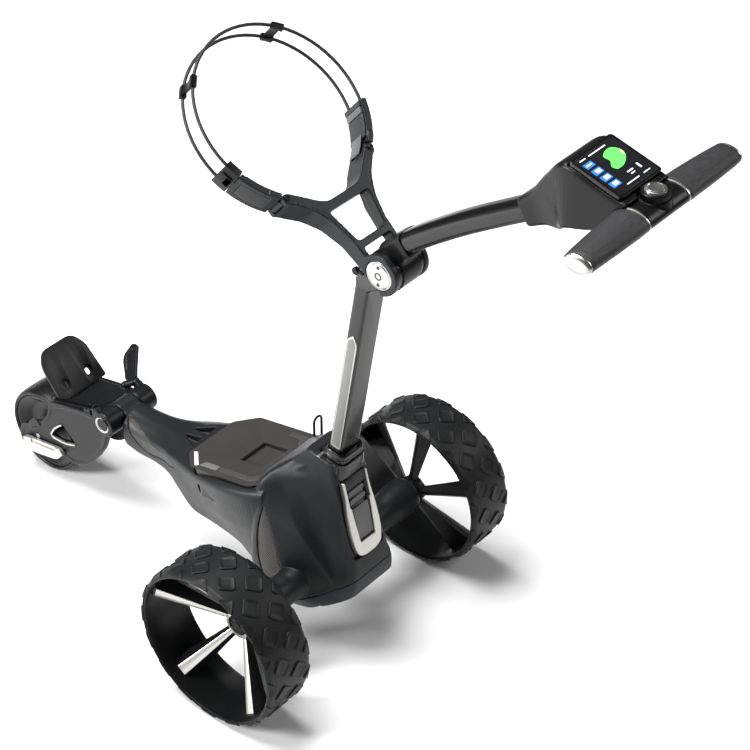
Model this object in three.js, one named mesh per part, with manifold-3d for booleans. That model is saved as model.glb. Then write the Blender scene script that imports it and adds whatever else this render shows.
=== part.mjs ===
// Electric golf trolley: three-wheeled folding cart with a battery-driven rear axle.
// Millimetres, +Z up. X is the trolley's width, +Y points back towards the walking golfer.
// Inside this file Y = 0 is the rear axle; the exported group is moved so the length is centred.

import * as THREE from 'three';
import { mergeVertices } from 'three/addons/utils/BufferGeometryUtils.js';
import Module from 'manifold-3d';

const wasm = await Module();
wasm.setup();

// ---------------------------------------------------------------- driving dimensions

const GAP = 0.35;                 // clearance kept between neighbouring pieces
const OVERALL_WIDTH = 600;
const REAR_WHEEL_RADIUS = 142.4;
const REAR_WHEEL_WIDTH = 95.6;
const REAR_RIM_RADIUS = 135;
const FRONT_WHEEL_RADIUS = 83.8;
const FRONT_WHEEL_HALF_WIDTH = 37;
const WHEELBASE = 650.6;
const HANDLE_REAR_Y = 582.6;      // rearmost point of the handlebar

const SHAFT_LEAN = THREE.MathUtils.degToRad(9.5);
const SHAFT_BASE = { y: 32.5, z: 385 };
const SHAFT_WIDTH = 46;
const SHAFT_DEPTH = 26;
const SHAFT_LENGTH = 352;
const SHAFT_PIVOT = { y: 9, z: 372 };

const HINGE = { y: 134.8, z: 774.6, radius: 33, halfWidth: 37.6 };
const HINGE_EYE_HALF = 19.8;
const HINGE_EAR_HALF = 28.1;
const HINGE_PIN_RADIUS = 8;

const BRACKET_SLOPE = THREE.MathUtils.degToRad(40);
const BRACKET_ORIGIN = { y: 145.5, z: 785 };
const BRACKET_TOP = 13;           // depth of the bracket's upper face below its datum plane
const BRACKET_BAR_BOTTOM = 36;
const BRACKET_ARM_BOTTOM = 59;
const HOOP_RADIUS = 141;
const HOOP_CENTRE = 276.7;
const HOOP_BAND_DEPTHS = { rear: 19, front: 52.5 };
const HOOP_BAND_RADIUS = 2.6;
const ARM_PIN = { x: 90.8, s: 165.8 };

const BATTERY_SLOPE = THREE.MathUtils.degToRad(12);
const BATTERY_CENTRE = { y: -172.5, z: 271 };
const BATTERY_THICKNESS = 58;

const FRONT_BARREL = { y: -469.1, z: 204.1, radius: 24, halfWidth: 56 };
const FRONT_EYE_HALF = 21;
const FORK_OUTER = 51.5;
const FORK_INNER = 40.5;
const WING_PIN = { x: 45.5, y: -499.6, z: 221.4 };
const LEVER_PIVOT = { y: -684, z: 66 };

const ROUND_STEPS = 48;           // facets round a road wheel
const GROUP_SHIFT_Y = (WHEELBASE + FRONT_WHEEL_RADIUS - HANDLE_REAR_Y) / 2;

// ---------------------------------------------------------------- materials

function finish(color, roughness, metalness) {
  return new THREE.MeshStandardMaterial({ color, roughness, metalness });
}

const CHARCOAL = finish(0x3a3c3f, 0.55, 0.1);
const CHARCOAL_LOW = finish(0x454b52, 0.5, 0.1);
const GLOSS_BLACK = finish(0x121314, 0.18, 0.1);
const SATIN_BLACK = finish(0x1c1d1f, 0.45, 0.1);
const TYRE_BLACK = finish(0x2a2b2d, 0.75, 0);
const RIM_GREY = finish(0x2b2d30, 0.4, 0.2);
const SILVER = finish(0xc9c7bf, 0.3, 0.8);
const STEEL = finish(0x9a9c9e, 0.35, 0.9);
const BATTERY_GREY = finish(0x595755, 0.6, 0.05);
const LEATHER = finish(0x38393b, 0.65, 0);
const GLASS = finish(0x23262b, 0.15, 0);
const BAND_BLACK = finish(0x2b2d2c, 0.6, 0);
const BOARD_GREEN = finish(0x1f5b3a, 0.5, 0.1);

// ---------------------------------------------------------------- geometry helpers

// One welded, indexed geometry with no zero-area triangles.
function weld(geometry) {
  const bare = geometry.clone();
  bare.deleteAttribute('normal');
  bare.deleteAttribute('uv');
  const merged = mergeVertices(bare, 1e-3);
  const index = merged.index.array;
  const kept = [];
  for (let i = 0; i < index.length; i += 3) {
    const [a, b, c] = [index[i], index[i + 1], index[i + 2]];
    if (a !== b && b !== c && c !== a) kept.push(a, b, c);
  }
  merged.setIndex(kept);
  return merged;
}

function toSolid(geometry) {
  const welded = weld(geometry);
  const vertProperties = Float32Array.from(welded.attributes.position.array);
  const triVerts = Uint32Array.from(welded.index.array);
  return new wasm.Manifold(new wasm.Mesh({ numProp: 3, vertProperties, triVerts }));
}

function toGeometry(solid) {
  const { vertProperties, triVerts } = solid.getMesh();
  const geometry = new THREE.BufferGeometry();
  geometry.setAttribute('position', new THREE.BufferAttribute(Float32Array.from(vertProperties), 3));
  geometry.setIndex(new THREE.BufferAttribute(Uint32Array.from(triVerts), 1));
  return geometry;
}

function joined(...geometries) {
  return toGeometry(geometries.map(toSolid).reduce((sum, piece) => sum.add(piece)));
}

function cut(geometry, ...tools) {
  return toGeometry(tools.map(toSolid).reduce((rest, tool) => rest.subtract(tool), toSolid(geometry)));
}

function common(a, b) {
  return toGeometry(toSolid(a).intersect(toSolid(b)));
}

// Outline whose corners are rounded by short arcs; corners are [x, y] or [x, y, radius].
function rounded(corners, radius, steps = 3) {
  const points = [];
  const count = corners.length;
  for (let i = 0; i < count; i += 1) {
    const here = new THREE.Vector2(corners[i][0], corners[i][1]);
    const before = new THREE.Vector2(...corners[(i + count - 1) % count].slice(0, 2)).sub(here);
    const after = new THREE.Vector2(...corners[(i + 1) % count].slice(0, 2)).sub(here);
    const wanted = corners[i][2] ?? radius;
    const reach = Math.min(wanted, before.length() * 0.45, after.length() * 0.45);
    const start = here.clone().add(before.setLength(reach));
    const end = here.clone().add(after.setLength(reach));
    for (let k = 0; k <= steps; k += 1) {
      const t = k / steps;
      const x = (1 - t) ** 2 * start.x + 2 * t * (1 - t) * here.x + t * t * end.x;
      const y = (1 - t) ** 2 * start.y + 2 * t * (1 - t) * here.y + t * t * end.y;
      points.push(new THREE.Vector2(x, y));
    }
  }
  return points;
}

function box(x0, x1, y0, y1, z0, z1) {
  const geometry = new THREE.BoxGeometry(x1 - x0, y1 - y0, z1 - z0);
  return geometry.translate((x0 + x1) / 2, (y0 + y1) / 2, (z0 + z1) / 2);
}

// Straight prism of an outline in the XY plane, from z0 to z1.
function prism(points, z0, z1) {
  const geometry = new THREE.ExtrudeGeometry(new THREE.Shape(points), {
    depth: z1 - z0, bevelEnabled: false,
  });
  return geometry.translate(0, 0, z0);
}

// Prism of a side outline given as (y, z), from x0 to x1.
function sidePrism(points, x0, x1) {
  const axes = new THREE.Matrix4().makeBasis(
    new THREE.Vector3(0, 1, 0), new THREE.Vector3(0, 0, 1), new THREE.Vector3(1, 0, 0),
  );
  return prism(points, x0, x1).applyMatrix4(axes);
}

// Solid of revolution about the X axis; the profile is (radius, x) and closes on itself.
function turned(profile, steps) {
  const points = profile.map(([radius, x]) => new THREE.Vector2(radius, x));
  points.push(points[0].clone());
  const geometry = new THREE.LatheGeometry(points, steps);
  return outward(geometry.rotateZ(-Math.PI / 2));
}

function discX(radius, x0, x1, y, z, steps = 32) {
  const geometry = new THREE.CylinderGeometry(radius, radius, x1 - x0, steps);
  return geometry.rotateZ(Math.PI / 2).translate((x0 + x1) / 2, y, z);
}

function rodZ(radius, z0, z1, x = 0, y = 0, steps = 24) {
  const geometry = new THREE.CylinderGeometry(radius, radius, z1 - z0, steps);
  return geometry.rotateX(Math.PI / 2).translate(x, y, (z0 + z1) / 2);
}

// Turns a closed mesh the right way out by the sign of its volume.
function outward(geometry) {
  const welded = weld(geometry);
  const p = welded.attributes.position;
  const index = welded.index.array;
  const [a, b, c] = [new THREE.Vector3(), new THREE.Vector3(), new THREE.Vector3()];
  let volume = 0;
  for (let i = 0; i < index.length; i += 3) {
    a.fromBufferAttribute(p, index[i]);
    b.fromBufferAttribute(p, index[i + 1]);
    c.fromBufferAttribute(p, index[i + 2]);
    volume += a.dot(b.cross(c));
  }
  if (volume < 0) {
    const flipped = Array.from(index);
    for (let i = 0; i < flipped.length; i += 3) {
      flipped[i + 1] = index[i + 2];
      flipped[i + 2] = index[i + 1];
    }
    welded.setIndex(flipped);
  }
  return welded;
}

// Skin through rings of equal point count, closed by a fan at both ends.
function loft(rings) {
  const count = rings[0].length;
  const vertices = rings.flat();
  const indices = [];
  for (let r = 0; r + 1 < rings.length; r += 1) {
    for (let i = 0; i < count; i += 1) {
      const [a, b] = [r * count + i, r * count + ((i + 1) % count)];
      indices.push(a, b, b + count, a, b + count, a + count);
    }
  }
  for (const [ring, first] of [[rings[0], 0], [rings.at(-1), (rings.length - 1) * count]]) {
    const middle = ring.reduce((sum, p) => sum.add(p), new THREE.Vector3()).divideScalar(count);
    vertices.push(middle);
    for (let i = 0; i < count; i += 1) {
      const [a, b] = [first + i, first + ((i + 1) % count)];
      if (first === 0) indices.push(b, a, vertices.length - 1);
      else indices.push(a, b, vertices.length - 1);
    }
  }
  const geometry = new THREE.BufferGeometry();
  const positions = vertices.flatMap((v) => v.toArray());
  geometry.setAttribute('position', new THREE.Float32BufferAttribute(positions, 3));
  geometry.setIndex(indices);
  return outward(geometry);
}

// Mirrored half outline: points run from the top centre line outwards and down.
function mirrored(half) {
  return [...half, ...half.map(([x, z]) => [-x, z]).reverse()];
}

function ringAtY(corners, y, radius, steps) {
  return rounded(corners, radius, steps).map((p) => new THREE.Vector3(p.x, y, p.y));
}

function ringAtZ(corners, z, radius, steps) {
  return rounded(corners, radius, steps).map((p) => new THREE.Vector3(p.x, p.y, z));
}

function rectangle(x0, x1, y0, y1) {
  return [[x1, y1], [x0, y1], [x0, y0], [x1, y0]];
}

function circle(radius, steps, x = 0, y = 0) {
  const points = [];
  for (let i = 0; i < steps; i += 1) {
    const angle = (i / steps) * 2 * Math.PI;
    points.push(new THREE.Vector2(x + radius * Math.cos(angle), y + radius * Math.sin(angle)));
  }
  return points;
}

// ---------------------------------------------------------------- scene graph

const trolley = new THREE.Group();
trolley.position.y = GROUP_SHIFT_Y;

const shaftFrame = new THREE.Group();       // local z runs up the lower shaft
shaftFrame.position.set(0, SHAFT_BASE.y, SHAFT_BASE.z);
shaftFrame.rotation.x = -SHAFT_LEAN;

const bracketFrame = new THREE.Group();     // local y runs out along the bag bracket, z down
bracketFrame.position.set(0, BRACKET_ORIGIN.y, BRACKET_ORIGIN.z);
bracketFrame.quaternion.setFromRotationMatrix(new THREE.Matrix4().makeBasis(
  new THREE.Vector3(1, 0, 0),
  new THREE.Vector3(0, -Math.cos(BRACKET_SLOPE), Math.sin(BRACKET_SLOPE)),
  new THREE.Vector3(0, -Math.sin(BRACKET_SLOPE), -Math.cos(BRACKET_SLOPE)),
));

const batteryFrame = new THREE.Group();     // local z stands square on the battery's lid
batteryFrame.position.set(0, BATTERY_CENTRE.y, BATTERY_CENTRE.z);
batteryFrame.rotation.x = BATTERY_SLOPE;

trolley.add(shaftFrame, bracketFrame, batteryFrame);

function add(name, geometry, material, parent = trolley) {
  const mesh = new THREE.Mesh(weld(geometry), material.clone());
  mesh.name = name;
  parent.add(mesh);
  return mesh;
}

// Geometry drawn in one of the turned frames, moved into the trolley's own frame.
function inTrolley(geometry, frame) {
  frame.updateMatrix();
  return geometry.clone().applyMatrix4(frame.matrix);
}

const SIDES = [['left', 1], ['right', -1]];

// ---------------------------------------------------------------- rear wheels

const WHEEL_OUTER = OVERALL_WIDTH / 2;
const WHEEL_INNER = WHEEL_OUTER - REAR_WHEEL_WIDTH;
const HUB_FACE = WHEEL_INNER + 16;
const SPOKE_COUNT = 5;
const SPOKE_FIRST = THREE.MathUtils.degToRad(18);

function wheelTurn(steps) {
  return Math.PI / steps;         // puts the middle of a facet straight down
}

function rearTyre() {
  const apothem = Math.cos(Math.PI / ROUND_STEPS);
  const outer = REAR_WHEEL_RADIUS / apothem;
  const inner = REAR_RIM_RADIUS + GAP;
  const profile = [
    [inner, WHEEL_INNER], [inner, WHEEL_OUTER], [outer - 3, WHEEL_OUTER],
    [outer, WHEEL_OUTER - 4], [outer, WHEEL_INNER + 4], [outer - 3, WHEEL_INNER],
  ];
  return turned(profile, ROUND_STEPS).rotateX(wheelTurn(ROUND_STEPS));
}

// Spoke blade from the hub to the rim, six-sided in section and widest at the rim.
function spokeBlade(angle) {
  const stations = [
    { r: 14, face: HUB_FACE - 1, wide: 8, top: 4.5, back: 11 },
    { r: 30, face: HUB_FACE + 2, wide: 9, top: 5, back: 13 },
    { r: 131.8, face: HUB_FACE + 61, wide: 23, top: 10.5, back: 54 },
  ];
  const rings = stations.map(({ r, face, wide, top, back }) => {
    const shape = [
      [face, -top], [face, top], [face - back * 0.4, wide],
      [face - back, 3.5], [face - back, -3.5], [face - back * 0.4, -wide],
    ];
    return shape.map(([x, t]) => new THREE.Vector3(
      x, r * Math.cos(angle) - t * Math.sin(angle), r * Math.sin(angle) + t * Math.cos(angle),
    ));
  });
  return loft(rings);
}

function rearRim() {
  const barrel = [
    [REAR_RIM_RADIUS, WHEEL_INNER + 2], [REAR_RIM_RADIUS, WHEEL_OUTER - 2],
    [REAR_RIM_RADIUS - 3.5, WHEEL_OUTER - 2], [REAR_RIM_RADIUS - 3.5, WHEEL_INNER + 2],
  ];
  const parts = [turned(barrel, ROUND_STEPS).rotateX(wheelTurn(ROUND_STEPS))];
  parts.push(discX(23, WHEEL_INNER - 4, HUB_FACE + 1, 0, 0, 28));
  for (let i = 0; i < SPOKE_COUNT; i += 1) {
    parts.push(spokeBlade(SPOKE_FIRST + (i / SPOKE_COUNT) * 2 * Math.PI));
  }
  const bores = [
    discX(9.2, WHEEL_INNER - 6, WHEEL_INNER + 3, 0, 0, 16),
    discX(17.5, WHEEL_INNER + 4.5, HUB_FACE + 12, 0, 0, 24),
  ];
  return cut(joined(...parts), ...bores);
}

// Bright strip laid on every spoke, tied together by a ring round the hub.
function rearTrim() {
  const thick = 1.6;
  const lift = 0.4;
  const parts = [];
  for (let i = 0; i < SPOKE_COUNT; i += 1) {
    const angle = SPOKE_FIRST + (i / SPOKE_COUNT) * 2 * Math.PI;
    const stations = [
      { r: 21, x: HUB_FACE + 2, half: 4.4 }, { r: 30, x: HUB_FACE + 2, half: 4.4 },
      { r: 126, x: HUB_FACE + 57.6, half: 9 },
    ];
    parts.push(loft(stations.map(({ r, x, half }) => {
      const under = x + lift;
      const over = under + thick;
      const shape = [[under, -half], [under, half], [over, half], [over, -half]];
      return shape.map(([px, t]) => new THREE.Vector3(
        px, r * Math.cos(angle) - t * Math.sin(angle), r * Math.sin(angle) + t * Math.cos(angle),
      ));
    })));
  }
  const ring = [
    [23, HUB_FACE + 2.4], [23, HUB_FACE + 4], [18.4, HUB_FACE + 4], [18.4, HUB_FACE + 2.4],
  ];
  parts.push(turned(ring, 28));
  return joined(...parts);
}

function hubButton() {
  const profile = [
    [0, WHEEL_INNER + 9], [16.8, WHEEL_INNER + 9], [16.8, HUB_FACE + 3.5],
    [13, HUB_FACE + 5.5], [0, HUB_FACE + 6],
  ];
  const points = profile.map(([r, x]) => new THREE.Vector2(r, x));
  return outward(new THREE.LatheGeometry(points, 24).rotateZ(-Math.PI / 2));
}

for (const [side, sign] of SIDES) {
  const place = (geometry) => {
    const moved = sign > 0 ? geometry : outward(geometry.scale(-1, 1, 1));
    return moved.translate(0, 0, REAR_WHEEL_RADIUS);
  };
  add(`${side}_rear_tyre`, place(rearTyre()), TYRE_BLACK);
  add(`${side}_rear_rim`, place(rearRim()), RIM_GREY);
  add(`${side}_spoke_trim`, place(rearTrim()), SILVER);
  add(`${side}_wheel_button`, place(hubButton()), SATIN_BLACK);
  add(`${side}_half_axle`, place(discX(8.5, 24.5, WHEEL_INNER + 2, 0, 0, 16)), STEEL);
}

// ---------------------------------------------------------------- chassis

const REAR_SPINE_TOP = 368;

// Neck and battery tray in sections from the front barrel to the rear haunches.
function neckAndTray() {
  const sections = [
    { y: -441, half: [[15, 227], [35, 210], [36, 180], [27, 154]] },
    { y: -400, half: [[17, 227], [39, 206], [38, 174], [28, 152]] },
    { y: -350, half: [[20, 231], [44, 211], [42, 180], [31, 158]] },
    { y: -312, half: [[26, 238], [56, 223], [50, 182], [36, 140]] },
    { y: -283, half: [[38, 245], [66, 230], [55, 170], [36, 102]] },
    { y: -243, half: [[60, 250], [78, 236], [60, 168], [36, 99]] },
    { y: -161, half: [[86, 267], [98, 256], [76, 176], [40, 97]] },
    { y: -100, half: [[90, 280], [98, 268], [84, 186], [60, 96]] },
    { y: -62, half: [[84, 294], [91, 284], [88, 200], [76, 96]] },
  ];
  return loft(sections.map(({ y, half }) => ringAtY(mirrored(half), y, 8, 2)));
}

// Rear haunches that carry the axle, widest low down.
function haunches() {
  const levels = [
    { z: 90, x: 84, y0: -100, y1: 50 },
    { z: 150, x: 99, y0: -104, y1: 64 },
    { z: 205, x: 94, y0: -98, y1: 40 },
    { z: 255, x: 90, y0: -92, y1: 4 },
    { z: 301, x: 80, y0: -84, y1: -40 },
  ];
  return loft(levels.map(({ z, x, y0, y1 }) => ringAtZ(rectangle(-x, x, y0, y1), z, 22, 2)));
}

// Upright spine behind the battery that ends in the seat of the folding shaft.
function spine() {
  const levels = [
    { z: 80, x: 66, y0: -60, y1: 80 },
    { z: 132, x: 64, y0: -60, y1: 93 },
    { z: 172, x: 60, y0: -60, y1: 91 },
    { z: 250, x: 48, y0: -60, y1: 70 },
    { z: 330, x: 43, y0: -40, y1: 50 },
    { z: REAR_SPINE_TOP, x: 38, y0: -8, y1: 44 },
  ];
  return loft(levels.map(({ z, x, y0, y1 }) => ringAtZ(rectangle(-x, x, y0, y1), z, 18, 2)));
}

// Sloping shoulder from the tray's rear edge up to the shaft seat.
function shoulder() {
  const sections = [
    { y: -90, half: [[70, 286], [80, 262], [80, 200], [60, 150]] },
    { y: -40, half: [[56, 332], [66, 300], [66, 200], [60, 150]] },
    { y: 0, half: [[34, 366], [44, 340], [50, 200], [50, 150]] },
  ];
  return loft(sections.map(({ y, half }) => ringAtY(mirrored(half), y, 10, 2)));
}

function axleCones() {
  const profile = [
    [0, -WHEEL_INNER + 5.5], [27, -WHEEL_INNER + 5.5], [33, -176], [46, -140], [56, -96],
    [56, 96], [46, 140], [33, 176], [27, WHEEL_INNER - 5.5], [0, WHEEL_INNER - 5.5],
  ];
  const points = profile.map(([r, x]) => new THREE.Vector2(r, x));
  const cones = outward(new THREE.LatheGeometry(points, 28).rotateZ(-Math.PI / 2));
  return cones.translate(0, 0, REAR_WHEEL_RADIUS);
}

const BATTERY_OUTLINE = [
  [66, 85], [80, 71], [80, -51], [48, -86], [-48, -86], [-80, -51], [-80, 71], [-66, 85],
];

function grown(outline, by) {
  return outline.map(([x, y]) => [x + Math.sign(x) * by, y + Math.sign(y) * by]);
}

function batteryBay() {
  const bay = prism(rounded(grown(BATTERY_OUTLINE, 1.2), 6), -BATTERY_THICKNESS - 1, 60);
  return inTrolley(bay, batteryFrame);
}

// Slab below the sloping underside; the same slope, raised, parts the bumper from the shell.
const UNDERSIDE = { y: 18, z: 84, slope: Math.atan2(132 - 84, 92 - 18) };
function belowSlope(raise) {
  const block = box(-150, 150, -400, 300, -300, raise);
  block.rotateX(UNDERSIDE.slope);
  return block.translate(0, UNDERSIDE.y, UNDERSIDE.z);
}
const BUMPER_HEIGHT = 26;
const BUMPER_FRONT_Y = -6;

const outerBody = cut(
  joined(neckAndTray(), haunches(), spine(), shoulder(), axleCones()),
  belowSlope(0),
);
const bumperZone = common(belowSlope(BUMPER_HEIGHT), box(-101, 101, BUMPER_FRONT_Y, 140, 0, 260));
const bumperZoneOpen = common(
  belowSlope(BUMPER_HEIGHT + GAP), box(-101 - GAP, 101 + GAP, BUMPER_FRONT_Y - GAP, 140, 0, 260),
);
const driveBay = loft([
  ringAtZ(rectangle(-72, 72, -92, 44), 60, 10, 2),
  ringAtZ(rectangle(-72, 72, -92, 44), 176, 10, 2),
  ringAtZ(rectangle(-58, 58, -84, 20), 205, 10, 2),
]);
const axleBore = discX(10, -WHEEL_INNER - 2, WHEEL_INNER + 2, 0, REAR_WHEEL_RADIUS, 16);

// Seat of the folding shaft: a flat square to the shaft, and two ears for its pivot pin.
const seatCut = inTrolley(box(-60, 60, -70, 60, -15.5, 40), shaftFrame);
const SEAT_EAR = { inner: 21, outer: 33, radius: 8 };
const seatEars = SIDES.map(([, sign]) => {
  const [x0, x1] = [SEAT_EAR.inner, SEAT_EAR.outer].map((x) => x * sign).sort((a, b) => a - b);
  return joined(
    discX(SEAT_EAR.radius, x0, x1, SHAFT_PIVOT.y, SHAFT_PIVOT.z, 20),
    box(x0, x1, SHAFT_PIVOT.y - 7, SHAFT_PIVOT.y + 7, SHAFT_PIVOT.z - 22, SHAFT_PIVOT.z),
  );
});
// Slot below the shaft's lug.
const seatPocket = box(
  -20.8, 20.8, SHAFT_PIVOT.y - 9.5, SHAFT_PIVOT.y + 9, SHAFT_PIVOT.z - 9.5, SHAFT_PIVOT.z + 30,
);
const pivotBore = discX(4.3, -40, 40, SHAFT_PIVOT.y, SHAFT_PIVOT.z, 16);

// Hollow of the front end, where the fork's barrel turns round the neck's eye.
const neckEye = joined(
  discX(23.5, -FRONT_EYE_HALF + GAP, FRONT_EYE_HALF - GAP, FRONT_BARREL.y, FRONT_BARREL.z, 28),
  box(-FRONT_EYE_HALF + GAP, FRONT_EYE_HALF - GAP, FRONT_BARREL.y, -430, 182, 220),
);
const barrelClearance = cut(
  discX(FRONT_BARREL.radius + 2.5, -70, 70, FRONT_BARREL.y, FRONT_BARREL.z, 28),
  discX(40, -FRONT_EYE_HALF + GAP, FRONT_EYE_HALF - GAP, FRONT_BARREL.y, FRONT_BARREL.z, 24),
);
const barrelPinBore = discX(6.4, -60, 60, FRONT_BARREL.y, FRONT_BARREL.z, 12);

const loopPocket = box(-74 - GAP, -46 + GAP, -79 - GAP, -71 + GAP, 294 - GAP, 340);

const LATCH = { top: { y: 59, z: 338 }, bottom: { y: 93, z: 200 } };
const PANEL_SLOPE = Math.atan2(LATCH.bottom.y - LATCH.top.y, LATCH.top.z - LATCH.bottom.z);

// Frame of the rear panel: local y runs up the panel, z stands out of it.
const panelFrame = new THREE.Group();
panelFrame.position.set(0, 70, 268);
panelFrame.quaternion.setFromRotationMatrix(new THREE.Matrix4().makeBasis(
  new THREE.Vector3(-1, 0, 0),
  new THREE.Vector3(0, -Math.sin(PANEL_SLOPE), Math.cos(PANEL_SLOPE)),
  new THREE.Vector3(0, Math.cos(PANEL_SLOPE), Math.sin(PANEL_SLOPE)),
));
trolley.add(panelFrame);

const PANEL_OUTLINE = [[36, -72], [36, 72], [-36, 72], [-36, -72]];
const panelPocket = inTrolley(prism(rounded(grown(PANEL_OUTLINE, GAP), 10), -9, 40), panelFrame);

const shell = cut(
  joined(
    cut(
      outerBody, batteryBay(), driveBay, seatCut, seatPocket, barrelClearance,
      bumperZoneOpen, panelPocket, loopPocket,
    ),
    ...seatEars, neckEye,
  ),
  axleBore, pivotBore, barrelPinBore,
);
add('chassis_shell', shell, CHARCOAL);

add('rear_bumper', cut(common(outerBody, bumperZone), box(-73, 73, -20, 44.5, 0, 300)), CHARCOAL_LOW);

const baseCover = prism(rounded(rectangle(-71, 71, -91, -10), 9), 96.5, 100);
add('base_cover', baseCover, SATIN_BLACK);

// ---------------------------------------------------------------- drive inside the chassis

const AXLE_Z = REAR_WHEEL_RADIUS;
add('gearbox', cut(
  joined(box(-22, 22, -34, 30, 112, 174), discX(24, -22, 22, -50, 150, 32)),
  discX(10, -30, 30, 0, AXLE_Z, 24),
), STEEL);
add('drive_motor', joined(
  discX(31, 22.5, 68, -53, 150, 32),
  discX(26, 68, 70, -53, 150, 32),
), STEEL);
add('control_board', box(-66, -24, -84, 8, 178, 181), BOARD_GREEN);

// ---------------------------------------------------------------- battery

add('battery', prism(rounded(BATTERY_OUTLINE, 6), -BATTERY_THICKNESS, 0), BATTERY_GREY, batteryFrame);

// Skin along a run of points: one section per point, set square to the run.
function swept(points, section, across) {
  const rings = points.map((p, i) => {
    const before = points[Math.max(i - 1, 0)];
    const after = points[Math.min(i + 1, points.length - 1)];
    const along = after.clone().sub(before).normalize();
    const up = new THREE.Vector3().crossVectors(along, across).normalize();
    return section.map((c) => p.clone().addScaledVector(across, c.x).addScaledVector(up, c.y));
  });
  return loft(rings);
}

// Wire pull loop standing on the shoulder behind the battery.
const LOOP = { x: -60, y: -75, foot: 299, top: 354, half: 9, wire: 2.1 };
function wireLoop() {
  const points = [new THREE.Vector3(LOOP.x + LOOP.half, LOOP.y, LOOP.foot)];
  for (let i = 0; i <= 6; i += 1) {
    const angle = (i / 6) * Math.PI;
    points.push(new THREE.Vector3(
      LOOP.x + LOOP.half * Math.cos(angle), LOOP.y, LOOP.top - LOOP.half + LOOP.half * Math.sin(angle),
    ));
  }
  points.push(new THREE.Vector3(LOOP.x - LOOP.half, LOOP.y, LOOP.foot));
  const wire = swept(points, circle(LOOP.wire, 8), new THREE.Vector3(0, 1, 0));
  const foot = box(LOOP.x - 14, LOOP.x + 14, LOOP.y - 4, LOOP.y + 4, LOOP.foot - 5, LOOP.foot + 2);
  return joined(wire, foot);
}
add('wire_loop', wireLoop(), SATIN_BLACK);

// ---------------------------------------------------------------- rear panel

// Bright U-shaped trim round a dark release lever.
const TRIM_OUTLINE = [[32, -70, 12], [32, 70, 5], [-32, 70, 5], [-32, -70, 12]];
const TRIM_WINDOW = [[19, -46, 8], [20, 76, 2], [-20, 76, 2], [-19, -46, 8]];
add('latch_trim', cut(
  prism(rounded(TRIM_OUTLINE, 6), -8.5, 2.5),
  prism(rounded(TRIM_WINDOW, 5), -10, 10),
), SILVER, panelFrame);
const LEVER_HALF = 18.4;
const leverBody = prism(
  rounded([[LEVER_HALF, -41], [LEVER_HALF, 69], [-LEVER_HALF, 69], [-LEVER_HALF, -41]], 7), -8.5, -1,
);
const fingerSlots = [38, 52].map((y) => box(-12, 12, y - 4, y + 4, -5, 5));
add('release_lever', cut(leverBody, ...fingerSlots), GLOSS_BLACK, panelFrame);

// ---------------------------------------------------------------- folding shaft

const shaftOutline = rounded(
  rectangle(-SHAFT_WIDTH / 2, SHAFT_WIDTH / 2, -SHAFT_DEPTH / 2, SHAFT_DEPTH / 2), 5.5,
);
const intoShaft = shaftFrame.matrix.clone().invert();
const hingeInShaft = new THREE.Vector3(0, HINGE.y, HINGE.z).applyMatrix4(intoShaft);
const pivotInShaft = new THREE.Vector3(0, SHAFT_PIVOT.y, SHAFT_PIVOT.z).applyMatrix4(intoShaft);

// Lower shaft: rectangular tube, swept back at the top into two ears round the hinge pin.
function lowerShaft() {
  const { y: hy, z: hz } = hingeInShaft;
  const tube = prism(shaftOutline, -15, SHAFT_LENGTH);
  const neck = loft([
    ringAtZ(rectangle(-23, 23, -13, 13), SHAFT_LENGTH - 12, 5.5, 3),
    ringAtZ(rectangle(-25, 25, -13.5, 30), SHAFT_LENGTH + 8, 6, 3),
    ringAtZ(rectangle(-HINGE_EAR_HALF, HINGE_EAR_HALF, -6, hy + 22), hz - 22, 7, 3),
    ringAtZ(rectangle(-HINGE_EAR_HALF, HINGE_EAR_HALF, 10, hy + 20), hz, 7, 3),
  ]);
  const barrel = discX(HINGE.radius - 2, -HINGE_EAR_HALF, HINGE_EAR_HALF, hy, hz, 28);
  const eyeSlot = joined(
    discX(HINGE.radius + 2.5, -HINGE_EYE_HALF - GAP, HINGE_EYE_HALF + GAP, hy, hz, 28),
    box(-HINGE_EYE_HALF - GAP, HINGE_EYE_HALF + GAP, hy, hy + 60, hz - 60, hz + 60),
  );
  const lug = joined(
    discX(7.6, -20.4, 20.4, pivotInShaft.y, pivotInShaft.z, 20),
    box(-20.4, 20.4, pivotInShaft.y - 5, -4, pivotInShaft.z, -9),
  );
  const body = joined(cut(joined(tube, neck, barrel), eyeSlot), lug);
  return cut(
    body,
    discX(HINGE_PIN_RADIUS + 0.5, -60, 60, hy, hz, 16),
    discX(4.4, -40, 40, pivotInShaft.y, pivotInShaft.z, 16),
  );
}
add('lower_shaft', lowerShaft(), GLOSS_BLACK, shaftFrame);
add('shaft_pivot_pin', discX(3.9, -34.5, 34.5, SHAFT_PIVOT.y, SHAFT_PIVOT.z, 16), STEEL);

const collarHole = prism(rounded(rectangle(-23.4, 23.4, -13.4, 13.4), 5.5), -40, 60);
const collar = joined(
  prism(rounded(rectangle(-29, 29, -20, 23), 9), -8.4, -1),
  prism(rounded(rectangle(-27.5, 27.5, -18, 21.5), 8), -1, 6),
);
add('shaft_collar', cut(collar, collarHole), SATIN_BLACK, shaftFrame);

// Bright textured strip let onto each side face of the shaft.
for (const [side, sign] of SIDES) {
  const outline = rounded([[10, 16, 3], [10, 238, 9], [1, 252, 4], [-9, 240, 3], [-9, 16, 3]], 3);
  const [x0, x1] = [sign * 23.4, sign * 25].sort((a, b) => a - b);
  add(`${side}_shaft_inlay`, sidePrism(outline, x0, x1), SILVER, shaftFrame);
}

// ---------------------------------------------------------------- hinge

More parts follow.
